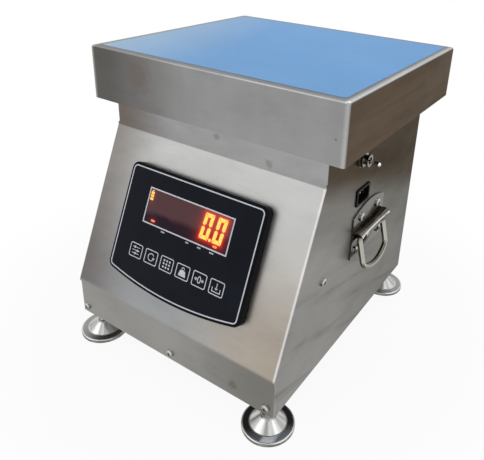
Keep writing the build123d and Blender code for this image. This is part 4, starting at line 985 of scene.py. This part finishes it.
def weight(mesh, x, s):
    """A weight with a ring on top."""
    plate(mesh, [(x - 3.2, s - 1.2), (x + 3.2, s - 1.2), (x + 4.6, s + 4.4), (x - 4.6, s + 4.4)], KEY_OUT)
    stroke(mesh, oval(x, s - 2.9, 1.5, 1.5, 16), 0.7, KEY_OUT)


def to_zero(mesh, x, s):
    """A nought between two arrows."""
    stroke(mesh, oval(x, s, 1.7, 3.1, 20), 0.9, KEY_OUT)
    arrow(mesh, x - 4.4, s, 1.5, 0.0)
    arrow(mesh, x + 4.4, s, 1.5, pi)


def container(mesh, x, s):
    """An arrow into an open tray."""
    drawn(mesh, [(x - 4.6, s + 0.2), (x - 4.6, s + 4.2), (x + 4.6, s + 4.2), (x + 4.6, s + 0.2)], 0.8)
    arrow(mesh, x, s - 1.2, 3.2, pi / 2)


SYMBOLS = (settings, cycle, pieces_grid, weight, to_zero, container)
half_x, half_s = ((length - KEY_LINE) / 2 for length in KEY_SIZE)
for index, symbol in enumerate(SYMBOLS):
    centre = (index - (len(SYMBOLS) - 1) / 2) * KEY_PITCH
    line = rounded(centre - half_x, KEY_S - half_s, centre + half_x, KEY_S + half_s, KEY_CORNER)
    mesh = bmesh.new()
    stroke(mesh, line, KEY_LINE, KEY_OUT)
    symbol(mesh, centre, KEY_S)
    piece(f"key_print_{index + 1}", mesh, "ink", f"key_{index + 1}_cap")


# Stage. Each lamp has its place, what it points at, its size, its power and its colour.
STAGE_LAMPS = {
    "lamp_key": ((-0.9, -1.3, 1.7), (0, 0, 0.15), (1.4, 1.4), 8, (1.0, 0.985, 0.96)),
    "lamp_right": ((1.5, -0.4, 1.1), (0, 0, 0.15), (1.0, 1.2), 3, (0.97, 0.985, 1.0)),
    "lamp_top": ((0.2, 0.8, 2.0), (0, 0, 0.1), (1.6, 1.2), 9, (1.0, 1.0, 1.0)),
}
SKY = ((0.93, 0.95, 1.0, 1.0), 0.55)
BACKDROP = ((1.0, 1.0, 1.0, 1.0), 1.0)
FLOOR_RADIUS = 9.0
FLOOR_SHADES = ((0.80, 0.80, 0.80), (0.84, 0.84, 0.84))
FLOOR_WHITENS = (0.20, 0.45, 0.92, 1.0)


def light(name, place, target, size, power, colour):
    data = bpy.data.lights.new(name, "AREA")
    data.shape = "RECTANGLE"
    data.size, data.size_y = size
    data.energy = power
    data.color = colour
    lamp = bpy.data.objects.new(name, data)
    scene.collection.objects.link(lamp)
    lamp.location = place
    lamp.rotation_euler = (Vector(target) - Vector(place)).to_track_quat("-Z", "Y").to_euler()


def background(tree, colour, strength):
    node = tree.nodes.new("ShaderNodeBackground")
    node.inputs["Color"].default_value = colour
    node.inputs["Strength"].default_value = strength
    return node.outputs["Background"]


def seen_directly(tree):
    """1 for camera, glossy and transmission rays, and 0 for the rays that only carry light."""
    path = tree.nodes.new("ShaderNodeLightPath")
    total = path.outputs["Is Camera Ray"]
    for label in ("Is Glossy Ray", "Is Transmission Ray"):
        add = tree.nodes.new("ShaderNodeMath")
        add.operation = "MAXIMUM"
        tree.links.new(total, add.inputs[0])
        tree.links.new(path.outputs[label], add.inputs[1])
        total = add.outputs["Value"]
    return total


def blended(tree, share, first, second):
    """Two shaders blended; share is how much of the second shows."""
    node = tree.nodes.new("ShaderNodeMixShader")
    for socket, source in zip(node.inputs, (share, first, second)):
        tree.links.new(source, socket)
    return node.outputs["Shader"]


def floor_pale():
    """The floor: pale by the object, and white further out."""
    finish = Finish("floor_pale")
    mottle = finish.even_noise(3, detail=2.0)
    finish.set(Base_Color=finish.mix(mottle, *FLOOR_SHADES), Roughness=0.9, Specular_IOR_Level=0.1)
    tree = finish.tree
    reach = tree.nodes.new("ShaderNodeVectorMath")
    reach.operation = "LENGTH"
    tree.links.new(finish.place, reach.inputs[0])
    far = finish.span(reach.outputs["Value"], *FLOOR_WHITENS, smooth=True)
    white = tree.nodes.new("ShaderNodeEmission").outputs["Emission"]
    share = finish.times(far, seen_directly(tree))
    mixed = blended(tree, share, finish.shader.outputs["BSDF"], white)
    tree.links.new(mixed, tree.nodes["Material Output"].inputs["Surface"])
    return finish


for name, settled in STAGE_LAMPS.items():
    light(name, *settled)

world = bpy.data.worlds.new("studio")
scene.world = world
world.use_nodes = True
tree = world.node_tree
tree.nodes.clear()
output = tree.nodes.new("ShaderNodeOutputWorld")
shown = blended(tree, seen_directly(tree), background(tree, *SKY), background(tree, *BACKDROP))
tree.links.new(shown, output.inputs["Surface"])

mesh = bmesh.new()
bmesh.ops.create_circle(mesh, cap_ends=True, segments=96, radius=FLOOR_RADIUS)
data = bpy.data.meshes.new("floor")
mesh.to_mesh(data)
mesh.free()
floor = bpy.data.objects.new("floor", data)
scene.collection.objects.link(floor)
data.materials.append(floor_pale().material)

# Camera
azimuth, elevation, roll = (radians(angle) for angle in (CAMERA_AZIMUTH, CAMERA_ELEVATION, CAMERA_ROLL))
forward = Vector((-sin(azimuth) * cos(elevation), cos(azimuth) * cos(elevation), -sin(elevation)))
level = Vector((cos(azimuth), sin(azimuth), 0))
upright = level.cross(forward)
right = level * cos(roll) + upright * sin(roll)
up = right.cross(forward)
data = bpy.data.cameras.new("camera")
data.sensor_width = 36.0
data.lens = CAMERA_LENS
data.shift_x, data.shift_y = CAMERA_SHIFT
camera = bpy.data.objects.new("camera", data)
scene.collection.objects.link(camera)
camera.matrix_world = Matrix.Translation(CAMERA_AT) @ Matrix((right, up, -forward)).transposed().to_4x4()
scene.camera = camera
